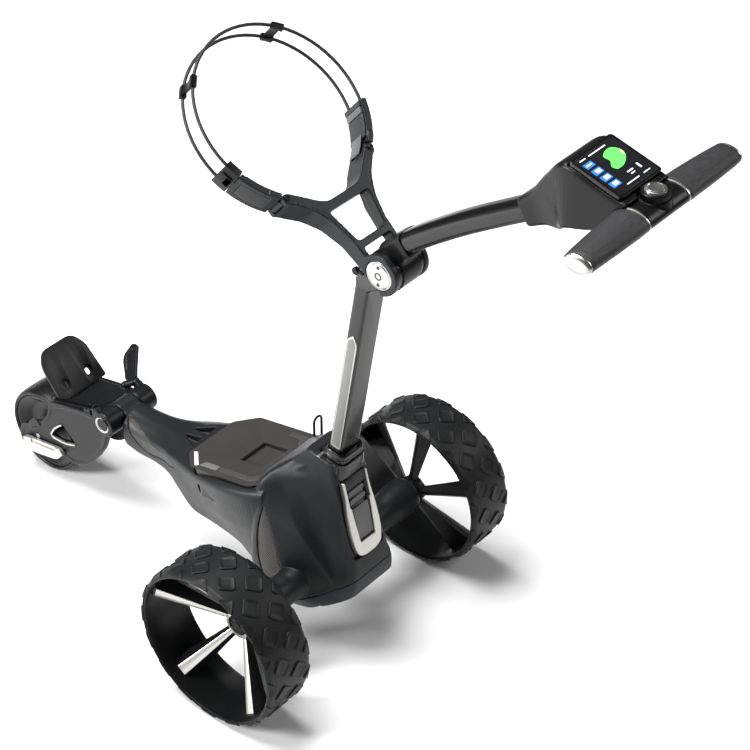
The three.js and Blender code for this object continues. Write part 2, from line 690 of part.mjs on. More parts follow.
add('hinge_pin', discX(HINGE_PIN_RADIUS, -28, 28, HINGE.y, HINGE.z, 16), STEEL);
const HUB_RING_INNER = 23.9;
for (const [side, sign] of SIDES) {
  const span = (a, b) => [sign * a, sign * b].sort((p, q) => p - q);
  const cap = joined(
    discX(HUB_RING_INNER - GAP, ...span(30.4, HINGE.halfWidth - 0.6), HINGE.y, HINGE.z, 28),
    discX(19.5, ...span(31, HINGE.halfWidth + 0.6), HINGE.y, HINGE.z, 28),
  );
  const holes = [-14.5, 14.5].map((dz) => discX(2.6, ...span(33, 45), HINGE.y, HINGE.z + dz, 10));
  add(`${side}_hinge_cap`, cut(cap, ...holes), SILVER);
}

// ---------------------------------------------------------------- bag bracket

// Everything here is drawn in the bracket's frame: x across, y out along it, z down into it.
bracketFrame.updateMatrix();
const intoBracket = bracketFrame.matrix.clone().invert();
const hubInBracket = new THREE.Vector3(0, HINGE.y, HINGE.z).applyMatrix4(intoBracket);

const BRACKET_OUTLINE = [
  [37, 18], [38.5, 67], [48, 103], [64, 131], [88, 153.5], [97, 158],
  [97, 172], [86, 172], [78, 165.5], [60, 151], [46, 138.5], [31, 131],
];
const BRACKET_WINDOW = [[42, 116.5], [29, 59]];
const BRACKET_SLOT = [[28, 47.7], [28.5, 18]];

function bagBracket() {
  const hub = hubInBracket;
  const outline = rounded(mirrored(BRACKET_OUTLINE), 7, 2);
  const window = prism(rounded(mirrored(BRACKET_WINDOW), 5, 2), 0, 90);
  const slot = prism(rounded(mirrored(BRACKET_SLOT), 3, 2), 0, 90);
  const plate = cut(prism(outline, BRACKET_TOP, BRACKET_ARM_BOTTOM), window, slot);
  const underside = sidePrism([
    new THREE.Vector2(-20, BRACKET_BAR_BOTTOM), new THREE.Vector2(60, BRACKET_BAR_BOTTOM + 6),
    new THREE.Vector2(110, BRACKET_ARM_BOTTOM - 10), new THREE.Vector2(150, BRACKET_ARM_BOTTOM + 0.5),
    new THREE.Vector2(-20, 120),
  ], -120, 120);
  const slimBars = box(-60, 60, 40, 135, BRACKET_BAR_BOTTOM - 2, 100);
  const rails = prism(rounded(mirrored([[34, -20], [35, 52], [42, 86], [80, 160], [0, 160]]), 4, 1), 0, 90);
  const web = cut(slimBars, cut(slimBars, rails));
  const rings = SIDES.map(([, sign]) => {
    const [x0, x1] = [sign * (HINGE_EAR_HALF + GAP), sign * HINGE.halfWidth].sort((a, b) => a - b);
    const disc = discX(HINGE.radius, x0, x1, hub.y, hub.z, 32);
    const root = sidePrism(rounded([
      [hub.y, hub.z - 26], [34, BRACKET_TOP + 0.5], [34, BRACKET_BAR_BOTTOM + 2], [hub.y, hub.z + 26],
    ], 2, 1), x0, x1);
    return joined(disc, root);
  });
  const recesses = SIDES.map(([, sign]) => {
    const [x0, x1] = [sign * 30, sign * 60].sort((a, b) => a - b);
    return discX(HUB_RING_INNER, x0, x1, hub.y, hub.z, 28);
  });
  const hubClear = discX(
    HINGE.radius + 3.5, -HINGE_EAR_HALF - GAP, HINGE_EAR_HALF + GAP, hub.y, hub.z, 28,
  );
  const forks = SIDES.map(([, sign]) => box(
    ...[sign * 78, sign * 120].sort((a, b) => a - b), 158.4, 200, BRACKET_TOP + 9, BRACKET_ARM_BOTTOM - 9,
  ));
  const pins = SIDES.map(([, sign]) => rodZ(
    3.4, BRACKET_TOP + 3, BRACKET_ARM_BOTTOM - 3, sign * ARM_PIN.x, ARM_PIN.s, 16,
  ));
  const body = cut(joined(plate, ...rings), underside, web, hubClear, ...recesses, ...forks);
  return joined(body, ...pins);
}
add('bag_bracket', bagBracket(), CHARCOAL, bracketFrame);

// Hoop: two elastic bands on one circle, carried by an arm pivoted at each side of the bracket.
const DEG = Math.PI / 180;
const ARM_END = { left: -20.9, right: 198 };
const CLAMP_SPAN = [-20.4, -10.6];
const BAND_SPAN = [-14, 201];
const CLIP_ANGLES = [45, 128];
const CLIP_HALF = 3.9;

function onHoop(radius, degrees) {
  return [radius * Math.cos(degrees * DEG), HOOP_CENTRE + radius * Math.sin(degrees * DEG)];
}

function sector(r0, r1, from, to, steps) {
  const points = [];
  for (let i = 0; i <= steps; i += 1) {
    points.push(new THREE.Vector2(...onHoop(r1, from + ((to - from) * i) / steps)));
  }
  for (let i = steps; i >= 0; i -= 1) {
    points.push(new THREE.Vector2(...onHoop(r0, from + ((to - from) * i) / steps)));
  }
  return points;
}

function hoopTube(radius, depth, from, to, steps) {
  const points = [];
  for (let i = 0; i <= steps; i += 1) {
    const [x, y] = onHoop(HOOP_RADIUS, from + ((to - from) * i) / steps);
    points.push(new THREE.Vector3(x, y, depth));
  }
  return swept(points, circle(radius, 8), new THREE.Vector3(0, 0, 1));
}

// Holes for the bands through a piece that spans part of the circle.
function bandBores(from, to) {
  const steps = Math.ceil((to - from) / 5);
  return Object.values(HOOP_BAND_DEPTHS).map(
    (depth) => hoopTube(HOOP_BAND_RADIUS + GAP + 0.15, depth, from, to, steps),
  );
}

function cradleArm(sign, endAngle) {
  const [from, to] = sign > 0 ? [-46.6, endAngle] : [endAngle, 226.6];
  const pin = [sign * ARM_PIN.x, ARM_PIN.s];
  const plate = prism(sector(138, 148, from, to, 8), BRACKET_TOP, BRACKET_ARM_BOTTOM);
  const heel = sign > 0 ? [-52, -45] : [225, 232];
  const tongue = joined(
    prism(sector(138.6, 147.4, ...heel, 2), BRACKET_TOP + 9.4, BRACKET_ARM_BOTTOM - 9.4),
    rodZ(6.6, BRACKET_TOP + 9.4, BRACKET_ARM_BOTTOM - 9.4, ...pin, 20),
  );
  const heelRound = rodZ(8.2, 0, 80, ...pin, 24);
  const bore = rodZ(3.4 + GAP, 0, 80, ...pin, 16);
  const bores = sign > 0 ? [] : bandBores(endAngle - 3, BAND_SPAN[1] + 0.4);
  return cut(joined(cut(plate, heelRound), tongue), bore, ...bores);
}
add('left_cradle_arm', cradleArm(1, ARM_END.left), CHARCOAL, bracketFrame);
add('right_cradle_arm', cradleArm(-1, ARM_END.right), CHARCOAL, bracketFrame);
const armPad = prism(sector(133.4, 137.6, 199, 224, 6), BRACKET_TOP + 1, BRACKET_ARM_BOTTOM);
add('arm_pad', armPad, BAND_BLACK, bracketFrame);

function strapClamp() {
  const block = prism(sector(135.5, 147.5, ...CLAMP_SPAN, 3), BRACKET_TOP - 1, BRACKET_ARM_BOTTOM + 1);
  const hookGap = prism(sector(138.5, 160, -18.4, -15.6, 1), 28, 44);
  return cut(block, hookGap, ...bandBores(BAND_SPAN[0] - 0.4, CLAMP_SPAN[1] + 3));
}
add('strap_clamp', strapClamp(), SATIN_BLACK, bracketFrame);

for (const [name, depth] of Object.entries(HOOP_BAND_DEPTHS)) {
  add(`${name}_hoop_band`, hoopTube(HOOP_BAND_RADIUS, depth, ...BAND_SPAN, 34), BAND_BLACK, bracketFrame);
}

CLIP_ANGLES.forEach((angle, i) => {
  const span = [angle - CLIP_HALF, angle + CLIP_HALF];
  const sleeves = Object.values(HOOP_BAND_DEPTHS).map(
    (depth) => prism(sector(136.5, 145.5, ...span, 2), depth - 4.5, depth + 4.5),
  );
  const bridge = prism(
    sector(139.3, 142.7, angle - 2.6, angle + 2.6, 2), HOOP_BAND_DEPTHS.rear, HOOP_BAND_DEPTHS.front,
  );
  add(`${SIDES[i][0]}_band_clip`, cut(
    joined(...sleeves, bridge), ...bandBores(span[0] - 1, span[1] + 1),
  ), SATIN_BLACK, bracketFrame);
});

// Small knob on the front of the hinge, which holds the shaft open.
const KNOB = { x: 33, y: 89, z: 762 };
const hingeKnob = joined(
  discX(6, -4, 4, 0, 0, 16),
  rodZ(2.6, -14, 0, 0, 0, 10).rotateX(Math.PI / 2),
);
add('hinge_knob', hingeKnob.translate(KNOB.x, KNOB.y, KNOB.z), SATIN_BLACK);

// ---------------------------------------------------------------- upper shaft and handle

// Path of the upper shaft, seen from the side, with the slope of the shaft at each station.
const UPPER_PATH = [
  { y: 152, z: 819, slope: 41 }, { y: 190.5, z: 851, slope: 38.5 }, { y: 262, z: 903, slope: 34.5 },
  { y: 334, z: 950, slope: 32 }, { y: 376, z: 976, slope: 32 },
];

// Rounded section standing square to the path at a station.
function pathRing(station, halfWidth, halfHeight, radius, steps = 3) {
  const slope = station.slope * DEG;
  const outline = rounded(rectangle(-halfWidth, halfWidth, -halfHeight, halfHeight), radius, steps);
  return outline.map((p) => new THREE.Vector3(
    p.x, station.y - p.y * Math.sin(slope), station.z + p.y * Math.cos(slope),
  ));
}

function upperShaft() {
  const tube = loft(UPPER_PATH.map((station) => pathRing(station, 20, 17, 9)));
  const casting = loft([
    pathRing({ y: 136, z: 783, slope: 72 }, HINGE_EYE_HALF, 26, 8),
    pathRing({ y: 140, z: 800, slope: 58 }, HINGE_EYE_HALF, 24, 8),
    pathRing({ y: 149, z: 812, slope: 48 }, HINGE_EYE_HALF, 21, 8),
    pathRing({ y: 156, z: 821.5, slope: 41 }, 22, 19.5, 9),
    pathRing({ y: 162, z: 826.5, slope: 41 }, 22, 19.5, 9),
  ]);
  const eye = discX(HINGE.radius, -HINGE_EYE_HALF, HINGE_EYE_HALF, HINGE.y, HINGE.z, 32);
  return cut(
    joined(tube, casting, eye),
    discX(HINGE_PIN_RADIUS + 0.5, -60, 60, HINGE.y, HINGE.z, 16),
  );
}
add('upper_shaft', upperShaft(), GLOSS_BLACK);

const GRIP_HALF_LENGTH = 171.5;
const CORE_HALF = 42.8;
const BAR = { y: 555, z: 1051 };

// Oval bar section at a distance out from the centre: it narrows slightly towards the tips.
function barRing(x, extra = 0) {
  const t = (Math.abs(x) - CORE_HALF) / (GRIP_HALF_LENGTH - CORE_HALF);
  const out = Math.max(t, 0);
  const [semiY, semiZ, y] = [27 - 6 * out + extra, 15 - 2 * out + extra, BAR.y + 4 * out];
  return circle(1, 24).map((c) => new THREE.Vector3(x, y + semiY * c.x, BAR.z + semiZ * c.y));
}

function barPiece(x0, x1, extra = 0) {
  const stations = [x0, -CORE_HALF, CORE_HALF, x1].filter((x) => x >= x0 && x <= x1);
  return loft([...new Set(stations)].map((x) => barRing(x, extra)));
}

const DIAL = { y: 557, seat: 1066.6, radius: 20, capRadius: 15 };
add('handle_core', joined(
  barPiece(-CORE_HALF, CORE_HALF),
  rodZ(22, 1054, DIAL.seat, 0, DIAL.y, 24),
), CHARCOAL);
for (const [side, sign] of SIDES) {
  const span = (a, b) => [sign * a, sign * b].sort((p, q) => p - q);
  add(`${side}_grip_ring`, barPiece(...span(CORE_HALF + GAP, 46), 0.6), SILVER);
  add(`${side}_grip`, barPiece(...span(46.4, 164.8)), LEATHER);
  const tip = loft([
    barRing(sign * 165.2), barRing(sign * 169.5, -0.4), barRing(sign * GRIP_HALF_LENGTH, -4),
  ]);
  add(`${side}_grip_cap`, tip, SILVER);
}

function dialRing() {
  const grip = rodZ(DIAL.radius, DIAL.seat + GAP, DIAL.seat + 9, 0, DIAL.y, 28);
  return cut(grip, rodZ(DIAL.capRadius + GAP, 1000, 1100, 0, DIAL.y, 24));
}
add('dial_ring', dialRing(), SATIN_BLACK);
add('dial_cap', joined(
  rodZ(DIAL.capRadius, DIAL.seat + 2.4, DIAL.seat + 12, 0, DIAL.y, 24),
  rodZ(12.5, DIAL.seat + 11, DIAL.seat + 13.4, 0, DIAL.y, 24),
), SILVER);

// Display head: grows out of the shaft and levels off above the bar.
function displayHead() {
  const head = loft([
    pathRing({ y: 370, z: 972.5, slope: 32 }, 24, 22, 10, 3),
    pathRing({ y: 396, z: 993, slope: 30 }, 27, 27, 10, 3),
    pathRing({ y: 424, z: 1018, slope: 20 }, 37, 40, 10, 3),
    pathRing({ y: 450, z: 1044, slope: 4 }, 49, 48.5, 9, 3),
    pathRing({ y: 500, z: 1045, slope: -8 }, 50, 35, 9, 3),
    pathRing({ y: 529.5, z: 1050, slope: -12 }, 50, 23.2, 9, 3),
  ]);
  const tubeSocket = loft([
    pathRing({ y: 350, z: 960, slope: 32 }, 20 + GAP, 17 + GAP, 9),
    pathRing({ y: 376.2, z: 976.2, slope: 32 }, 20 + GAP, 17 + GAP, 9),
  ]);
  const screenSeat = loft([
    pathRing({ y: 452, z: 1098, slope: -14.4 }, 46.9, 12, 4, 2),
    pathRing({ y: 539.5, z: 1075.5, slope: -14.4 }, 46.9, 12, 4, 2),
  ]);
  return cut(head, tubeSocket, screenSeat, barPiece(-70, 70, 0.6 + GAP));
}
add('display_housing', displayHead(), CHARCOAL);

const SCREEN_HALF = { x: 44.5, u: 41.5 };
const screenFrame = new THREE.Group();
screenFrame.position.set(0, 495.6, 1086.9);
screenFrame.rotation.x = -14.4 * DEG;
trolley.add(screenFrame);
add('display_screen', prism(
  rounded(rectangle(-SCREEN_HALF.x, SCREEN_HALF.x, -SCREEN_HALF.u, SCREEN_HALF.u), 5), -11, 0,
), GLASS, screenFrame);

// ---------------------------------------------------------------- front end

const FORK_OUTLINE = [
  [-613, 182], [-617, 151], [-633, 127], [-670, 104], [-693, 92], [-702, 67], [-697, 50], [-679, 44],
  [-630, 60], [-582, 72], [-558, 66], [-531, 78], [-497, 112], [-476, 144], [-462, 184],
  [-476, 208], [-520, 205], [-575, 193],
];
const FORK_WINDOW = [[-584, 146], [-613, 108], [-600, 101], [-549, 113]];

const wingFrames = Object.fromEntries(SIDES.map(([side, sign]) => {
  const frame = new THREE.Group();            // local x runs out along the wing, y along its hinge
  const out = new THREE.Vector3(sign * 0.717, -0.556, 0.429).normalize();
  const along = new THREE.Vector3(sign * 0.34, 0.81, 0.47);
  along.addScaledVector(out, -along.dot(out)).normalize();
  const face = new THREE.Vector3().crossVectors(out, along);
  frame.position.set(sign * WING_PIN.x, WING_PIN.y, WING_PIN.z);
  frame.quaternion.setFromRotationMatrix(new THREE.Matrix4().makeBasis(out, along, face));
  trolley.add(frame);
  return [side, frame];
}));

function rodY(radius, y0, y1, steps = 16) {
  return new THREE.CylinderGeometry(radius, radius, y1 - y0, steps).translate(0, (y0 + y1) / 2, 0);
}

function fork() {
  const parts = [];
  const cuts = [];
  for (const [side, sign] of SIDES) {
    const span = (a, b) => [sign * a, sign * b].sort((p, q) => p - q);
    const plate = sidePrism(rounded(FORK_OUTLINE, 9, 1), ...span(FORK_INNER, FORK_OUTER));
    const window = sidePrism(rounded(FORK_WINDOW, 5, 1), ...span(30, 70));
    const barrel = discX(
      FRONT_BARREL.radius, ...span(FRONT_EYE_HALF, FRONT_BARREL.halfWidth),
      FRONT_BARREL.y, FRONT_BARREL.z, 28,
    );
    parts.push(cut(plate, window), barrel);
    const ears = joined(rodY(6.8, -16, -9.4), rodY(6.8, 9.4, 16), rodY(2.8, -16, 16, 8));
    parts.push(inTrolley(ears, wingFrames[side]));
    parts.push(box(...span(34, 50), -521, -505, 196, 213));
    parts.push(box(...span(44, 56), -493, -480, 205, 229));
    cuts.push(inTrolley(cut(rodY(9, -9.4, 9.4), rodY(2.8, -20, 20, 8)), wingFrames[side]));
  }
  const deck = sidePrism([
    new THREE.Vector2(-488, 214), new THREE.Vector2(-520, 208), new THREE.Vector2(-606, 188),
    new THREE.Vector2(-604, 178), new THREE.Vector2(-520, 194), new THREE.Vector2(-488, 196),
  ], -FORK_INNER - 0.5, FORK_INNER + 0.5);
  parts.push(cut(deck, discX(26.5, -FRONT_EYE_HALF, FRONT_EYE_HALF, FRONT_BARREL.y, FRONT_BARREL.z, 28)));
  parts.push(discX(3, FORK_INNER, FORK_OUTER + 6.5, LEVER_PIVOT.y, LEVER_PIVOT.z, 12));
  const wheelCentre = [-WHEELBASE, FRONT_WHEEL_RADIUS];
  cuts.push(discX(5.4, -70, 70, ...wheelCentre, 12));
  cuts.push(discX(6.4, -70, 70, FRONT_BARREL.y, FRONT_BARREL.z, 12));
  return cut(joined(...parts), ...cuts);
}
add('front_fork', fork(), CHARCOAL);
add('fork_pin', discX(6, -50, 50, FRONT_BARREL.y, FRONT_BARREL.z, 12), STEEL);
add('front_axle', discX(5, -51, 51.3, -WHEELBASE, FRONT_WHEEL_RADIUS, 12), STEEL);

for (const [side] of SIDES) {
  const paddle = prism(rounded([
    [12, -15], [40, -17], [64, -15, 10], [72, -4, 7], [68, 13, 8], [40, 17], [12, 15],
  ], 4, 2), -3.6, 3.6);
  const root = prism([[0, -9], [14, -9], [14, 9], [0, 9]].map((p) => new THREE.Vector2(...p)), -3.6, 3.6);
  const wing = cut(joined(paddle, root, rodY(6.8, -9, 9)), rodY(2.8 + GAP, -20, 20, 8));
  add(`${side}_wing`, wing, CHARCOAL, wingFrames[side]);
}

const CAM_OUTLINE = [
  [-698, 55], [-679, 74], [-589, 89], [-579, 81], [-597, 62], [-684, 44], [-697, 40],
];
add('cam_lever', cut(
  sidePrism(rounded(CAM_OUTLINE, 6, 2), FORK_OUTER + GAP, FORK_OUTER + 8),
  discX(3 + GAP, 40, 70, LEVER_PIVOT.y, LEVER_PIVOT.z, 12),
), SILVER);

// Bag rest: thin dished plate standing on the fork's deck.
const plateFrame = new THREE.Group();
plateFrame.position.set(0, -575, 193);
plateFrame.quaternion.setFromRotationMatrix(new THREE.Matrix4().makeBasis(
  new THREE.Vector3(-1, 0, 0),
  new THREE.Vector3(0, -Math.cos(48 * DEG), Math.sin(48 * DEG)),
  new THREE.Vector3(0, Math.sin(48 * DEG), Math.cos(48 * DEG)),
));
trolley.add(plateFrame);
const PLATE_HALF = [[54, 3, 6], [50.5, 74, 14], [34, 98, 20]];
const restSlots = [1, -1].map((sign) => prism(
  rounded(rectangle(sign * 34 - 4.5, sign * 34 + 4.5, 14, 29), 4.4, 2), -20, 20,
));
add('bag_rest', cut(
  prism(rounded(mirrored(PLATE_HALF).map(([x, y], i) => [x, y, [6, 14, 20, 20, 14, 6][i]]), 8), 0.4, 5.4),
  ...restSlots,
), CHARCOAL, plateFrame);

// ---------------------------------------------------------------- front wheel

function frontTyre() {
  const outer = FRONT_WHEEL_RADIUS / Math.cos(Math.PI / ROUND_STEPS);
  const [inner, half] = [73, FRONT_WHEEL_HALF_WIDTH];
  const profile = [
    [inner, -half], [inner, half], [outer - 5, half - 1], [outer - 1, half - 11],
    [outer, half - 22], [outer, -half + 22], [outer - 1, -half + 11], [outer - 5, -half + 1],
  ];
  return turned(profile, ROUND_STEPS).rotateX(wheelTurn(ROUND_STEPS));
}

function frontRim() {
  const half = 33;
  const profile = [
    [5 + GAP, -36], [5 + GAP, 36], [13, 36], [16, 22], [50, 18], [68, half], [72.4, half],
    [72.4, -half], [68, -half], [50, -18], [16, -22], [13, -36],
  ];
  return turned(profile, 32);
}

const atFrontWheel = (geometry) => geometry.translate(0, -WHEELBASE, FRONT_WHEEL_RADIUS);
add('front_tyre', atFrontWheel(frontTyre()), TYRE_BLACK);
add('front_rim', atFrontWheel(frontRim()), RIM_GREY);

export default trolley;
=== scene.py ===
import math

import bmesh
import bpy
from mathutils import Matrix, Vector


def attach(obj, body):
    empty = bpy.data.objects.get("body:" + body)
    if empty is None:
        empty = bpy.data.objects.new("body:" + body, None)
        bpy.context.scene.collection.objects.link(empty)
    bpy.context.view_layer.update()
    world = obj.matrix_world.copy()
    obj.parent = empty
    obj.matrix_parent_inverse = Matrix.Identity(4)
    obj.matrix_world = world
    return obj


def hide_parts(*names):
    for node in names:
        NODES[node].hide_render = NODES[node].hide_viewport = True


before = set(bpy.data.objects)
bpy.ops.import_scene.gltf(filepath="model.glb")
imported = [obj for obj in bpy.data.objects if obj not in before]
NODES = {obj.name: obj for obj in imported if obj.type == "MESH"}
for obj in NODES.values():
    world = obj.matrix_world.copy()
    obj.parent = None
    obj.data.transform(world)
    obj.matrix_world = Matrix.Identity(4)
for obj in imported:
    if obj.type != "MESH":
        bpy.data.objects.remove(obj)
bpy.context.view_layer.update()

# Millimetres below: X across, Y back from the rear axle, Z up. MM brings a point to the row frame.
AXLE_Y = 75.9
MM = Matrix.Translation((0, AXLE_Y / 1000, 0)) @ Matrix.Diagonal((0.001, 0.001, 0.001, 1))
DEG = math.pi / 180
SIDES = (("left", 1), ("right", -1))


# ------------------------------------------------------------------ camera

def add_camera():
    data = bpy.data.cameras.new("camera")
    data.lens = 105.42
    data.sensor_width = 36
    data.clip_end = 50
    obj = bpy.data.objects.new("camera", data)
    bpy.context.scene.collection.objects.link(obj)
    forward = Vector((-0.6086, -0.5124, -0.6058)).normalized()
    right = Vector((-0.644, 0.765, 0)).normalized()
    up = right.cross(forward)
    turn = Matrix((right, up, -forward)).transposed().to_4x4()
    obj.matrix_world = Matrix.Translation(MM @ Vector((2011.36, 1790.07, 2559.56))) @ turn
    bpy.context.scene.camera = obj


add_camera()


# ------------------------------------------------------------------ turned frames

def frame_of(origin, x, y, z):
    turn = Matrix((Vector(x), Vector(y), Vector(z))).transposed().to_4x4()
    return Matrix.Translation(Vector(origin)) @ turn


WORLD = Matrix.Identity(4)
LEAN = 9.5 * DEG
SHAFT = Matrix.Translation((0, 32.5, 385)) @ Matrix.Rotation(-LEAN, 4, "X")
C40, S40 = math.cos(40 * DEG), math.sin(40 * DEG)
BRACKET = frame_of((0, 145.5, 785), (1, 0, 0), (0, -C40, S40), (0, -S40, -C40))
BATTERY = Matrix.Translation((0, -172.5, 271)) @ Matrix.Rotation(12 * DEG, 4, "X")
PANEL_SLOPE = math.atan2(34, 138)
CP, SP = math.cos(PANEL_SLOPE), math.sin(PANEL_SLOPE)
PANEL = frame_of((0, 70, 268), (-1, 0, 0), (0, -SP, CP), (0, CP, SP))
SCREEN = Matrix.Translation((0, 495.6, 1086.9)) @ Matrix.Rotation(-14.4 * DEG, 4, "X")
C48, S48 = math.cos(48 * DEG), math.sin(48 * DEG)
REST = frame_of((0, -575, 193), (-1, 0, 0), (0, -C48, S48), (0, S48, C48))
HINGE = (0, 134.8, 774.6)
HOOP_RADIUS, HOOP_CENTRE = 141, 276.7


def wing_frame(sign):
    out = Vector((sign * 0.717, -0.556, 0.429)).normalized()
    along = Vector((sign * 0.34, 0.81, 0.47))
    along = (along - out * along.dot(out)).normalized()
    return frame_of((sign * 45.5, -499.6, 221.4), out, along, out.cross(along))


# ------------------------------------------------------------------ outlines

def rounded(corners, radius, steps=5):
    """Closed outline whose corners are eased by short curves; a corner may carry its own radius."""
    points = []
    count = len(corners)
    for i, corner in enumerate(corners):
        here = Vector(corner[:2])
        before = Vector(corners[i - 1][:2]) - here
        after = Vector(corners[(i + 1) % count][:2]) - here
        wanted = corner[2] if len(corner) > 2 else radius
        reach = min(wanted, before.length * 0.45, after.length * 0.45)
        start = here + before.normalized() * reach if before.length else here
        end = here + after.normalized() * reach if after.length else here
        for k in range(steps + 1):
            t = k / steps
            points.append(start * (1 - t) ** 2 + here * 2 * t * (1 - t) + end * t * t)
    return points


def rectangle(x0, x1, y0, y1):
    return [(x1, y1), (x0, y1), (x0, y0), (x1, y0)]


def mirrored(half):
    return list(half) + [(-p[0], *p[1:]) for p in reversed(half)]


def circle(radius, steps, x=0.0, y=0.0):
    turn = 2 * math.pi / steps
    return [Vector((x + radius * math.cos(i * turn), y + radius * math.sin(i * turn))) for i in range(steps)]


def smooth_path(points, per_span):
    """Catmull-Rom points through the given ones."""
    out = []
    pts = [Vector(p) for p in points]
    for i in range(len(pts) - 1):
        a, b = pts[max(i - 1, 0)], pts[i]
        c, d = pts[i + 1], pts[min(i + 2, len(pts) - 1)]
        for k in range(per_span):
            t = k / per_span
            out.append(0.5 * (2 * b + (c - a) * t + (2 * a - 5 * b + 4 * c - d) * t * t
                              + (3 * b - 3 * c + d - a) * t ** 3))
    out.append(pts[-1])
    return out


# ------------------------------------------------------------------ solids: (points, faces) in mm

def loft(rings, closed=False):
    count = len(rings[0])
    points = [Vector(p) for ring in rings for p in ring]
    faces = []
    spans = len(rings) if closed else len(rings) - 1
    for r in range(spans):
        s = (r + 1) % len(rings)
        for i in range(count):
            j = (i + 1) % count
            faces.append((r * count + i, r * count + j, s * count + j, s * count + i))
    if not closed:
        faces.append(tuple(range(count))[::-1])
        faces.append(tuple((len(rings) - 1) * count + i for i in range(count)))
    return points, faces


def smooth_loft(rings, per_span=5):
    """Loft whose rings are joined by smooth curves."""
    tracks = [smooth_path(track, per_span) for track in zip(*rings)]
    return loft(list(zip(*tracks)))


def moved(solid, matrix):
    return [matrix @ p for p in solid[0]], solid[1]


def placed(solids, matrix):
    return [moved(solid, matrix) for solid in solids]


def on_side(sign, a, b):
    """Low and high X of a span given for the left side (sign 1) and used on either side."""
    return sorted((sign * a, sign * b))


def together(*solids):
    points, faces = [], []
    for more_points, more_faces in solids:
        base = len(points)
        points += more_points
        faces += [tuple(base + i for i in face) for face in more_faces]
    return points, faces


def prism(outline, z0, z1, matrix=WORLD):
    rings = [[Vector((p[0], p[1], z)) for p in outline] for z in (z0, z1)]
    return moved(loft(rings), matrix)


SIDEWAYS = frame_of((0, 0, 0), (0, 1, 0), (0, 0, 1), (1, 0, 0))


def side_prism(outline, x0, x1, matrix=WORLD):
    return prism(outline, x0, x1, matrix @ SIDEWAYS)


def box(x0, x1, y0, y1, z0, z1, matrix=WORLD):
    return prism(rectangle(x0, x1, y0, y1), z0, z1, matrix)


def aim(axis):
    return {"X": SIDEWAYS, "Y": frame_of((0, 0, 0), (0, 0, 1), (1, 0, 0), (0, 1, 0)), "Z": WORLD}[axis]


def lathe(profile, axis="X", centre=(0, 0, 0), steps=96, matrix=WORLD):
    """Solid of revolution; profile is (radius, along) pairs and closes on itself or starts and ends on the axis."""
    turn = matrix @ Matrix.Translation(Vector(centre)) @ aim(axis)
    rings = []
    for i in range(steps):
        a = 2 * math.pi * i / steps
        rings.append([turn @ Vector((r * math.cos(a), r * math.sin(a), h)) for r, h in profile])
    return loft(rings, closed=True)


def disc(radius, x0, x1, centre=(0, 0, 0), axis="X", ease=0.0, steps=64, matrix=WORLD):
    profile = [(0, x0), (radius - ease, x0), (radius, x0 + ease), (radius, x1 - ease), (radius - ease, x1), (0, x1)]
    if not ease:
        profile = [(0, x0), (radius, x0), (radius, x1), (0, x1)]
    return lathe(profile, axis, centre, steps, matrix)


def sweep(path, section, across):
    """Section carried along a path; across is the direction of the section's first axis."""
    across = Vector(across)
    rings = []
    for i, p in enumerate(path):
        along = (Vector(path[min(i + 1, len(path) - 1)]) - Vector(path[max(i - 1, 0)])).normalized()
        up = along.cross(across).normalized()
        rings.append([Vector(p) + across * c[0] + up * c[1] for c in section])
    return loft(rings)


# ------------------------------------------------------------------ objects

def mesh_object(name, solid):
    mesh = bpy.data.meshes.new(name)
    bm = bmesh.new()
    verts = [bm.verts.new(MM @ p) for p in solid[0]]
    for face in solid[1]:
        try:
            bm.faces.new([verts[i] for i in face])
        except ValueError:
            pass
    bmesh.ops.remove_doubles(bm, verts=bm.verts, dist=2e-6)
    bmesh.ops.dissolve_degenerate(bm, edges=bm.edges, dist=1e-6)
    bmesh.ops.recalc_face_normals(bm, faces=bm.faces)
    bm.to_mesh(mesh)
    bm.free()
    obj = bpy.data.objects.new(name, mesh)
    bpy.context.scene.collection.objects.link(obj)
    return obj


def settle(obj):
    """Applies every modifier."""
    graph = bpy.context.evaluated_depsgraph_get()
    graph.update()
    mesh = bpy.data.meshes.new_from_object(obj.evaluated_get(graph))
    old = obj.data
    obj.modifiers.clear()
    obj.data = mesh
    bpy.data.meshes.remove(old)


def combine(obj, solids, operation):
    tools = [mesh_object("tool", s) for s in solids]
    for tool in tools:
        modifier = obj.modifiers.new("combine", "BOOLEAN")
        modifier.operation = operation
        modifier.solver = "MANIFOLD"
        modifier.object = tool
    settle(obj)
    for tool in tools:
        mesh = tool.data
        bpy.data.objects.remove(tool)
        bpy.data.meshes.remove(mesh)


def shade(obj, angle=35):
    for polygon in obj.data.polygons:
        polygon.use_smooth = True
    obj.data.set_sharp_from_angle(angle=angle * DEG)


def finish_piece(obj, body, material, nodes=()):
    obj.data.materials.clear()
    obj.data.materials.append(material)
    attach(obj, body)
    if nodes:
        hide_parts(*nodes)
    return obj


def shaped(name, adds, cuts, keep=None):
    obj = mesh_object(name, adds[0])
    for solids, operation in ((adds[1:], "UNION"), (keep, "INTERSECT"), (cuts, "DIFFERENCE")):
        if solids:
            combine(obj, solids, operation)
    return obj


def moulded(name, body, material, adds, cuts=(), voxel=1.5, smooth=3, nodes=(), keep=None):
    """Moulding with eased edges: its solids are joined, cut, and skinned again on a fine grid."""
    obj = shaped(name, adds, cuts, keep)
    grid = obj.modifiers.new("grid", "REMESH")
    grid.mode = "VOXEL"
    grid.voxel_size = voxel / 1000
    ease = obj.modifiers.new("ease", "SMOOTH")
    ease.factor = 0.5
    ease.iterations = smooth
    settle(obj)
    for polygon in obj.data.polygons:
        polygon.use_smooth = True
    return finish_piece(obj, body, material, nodes)


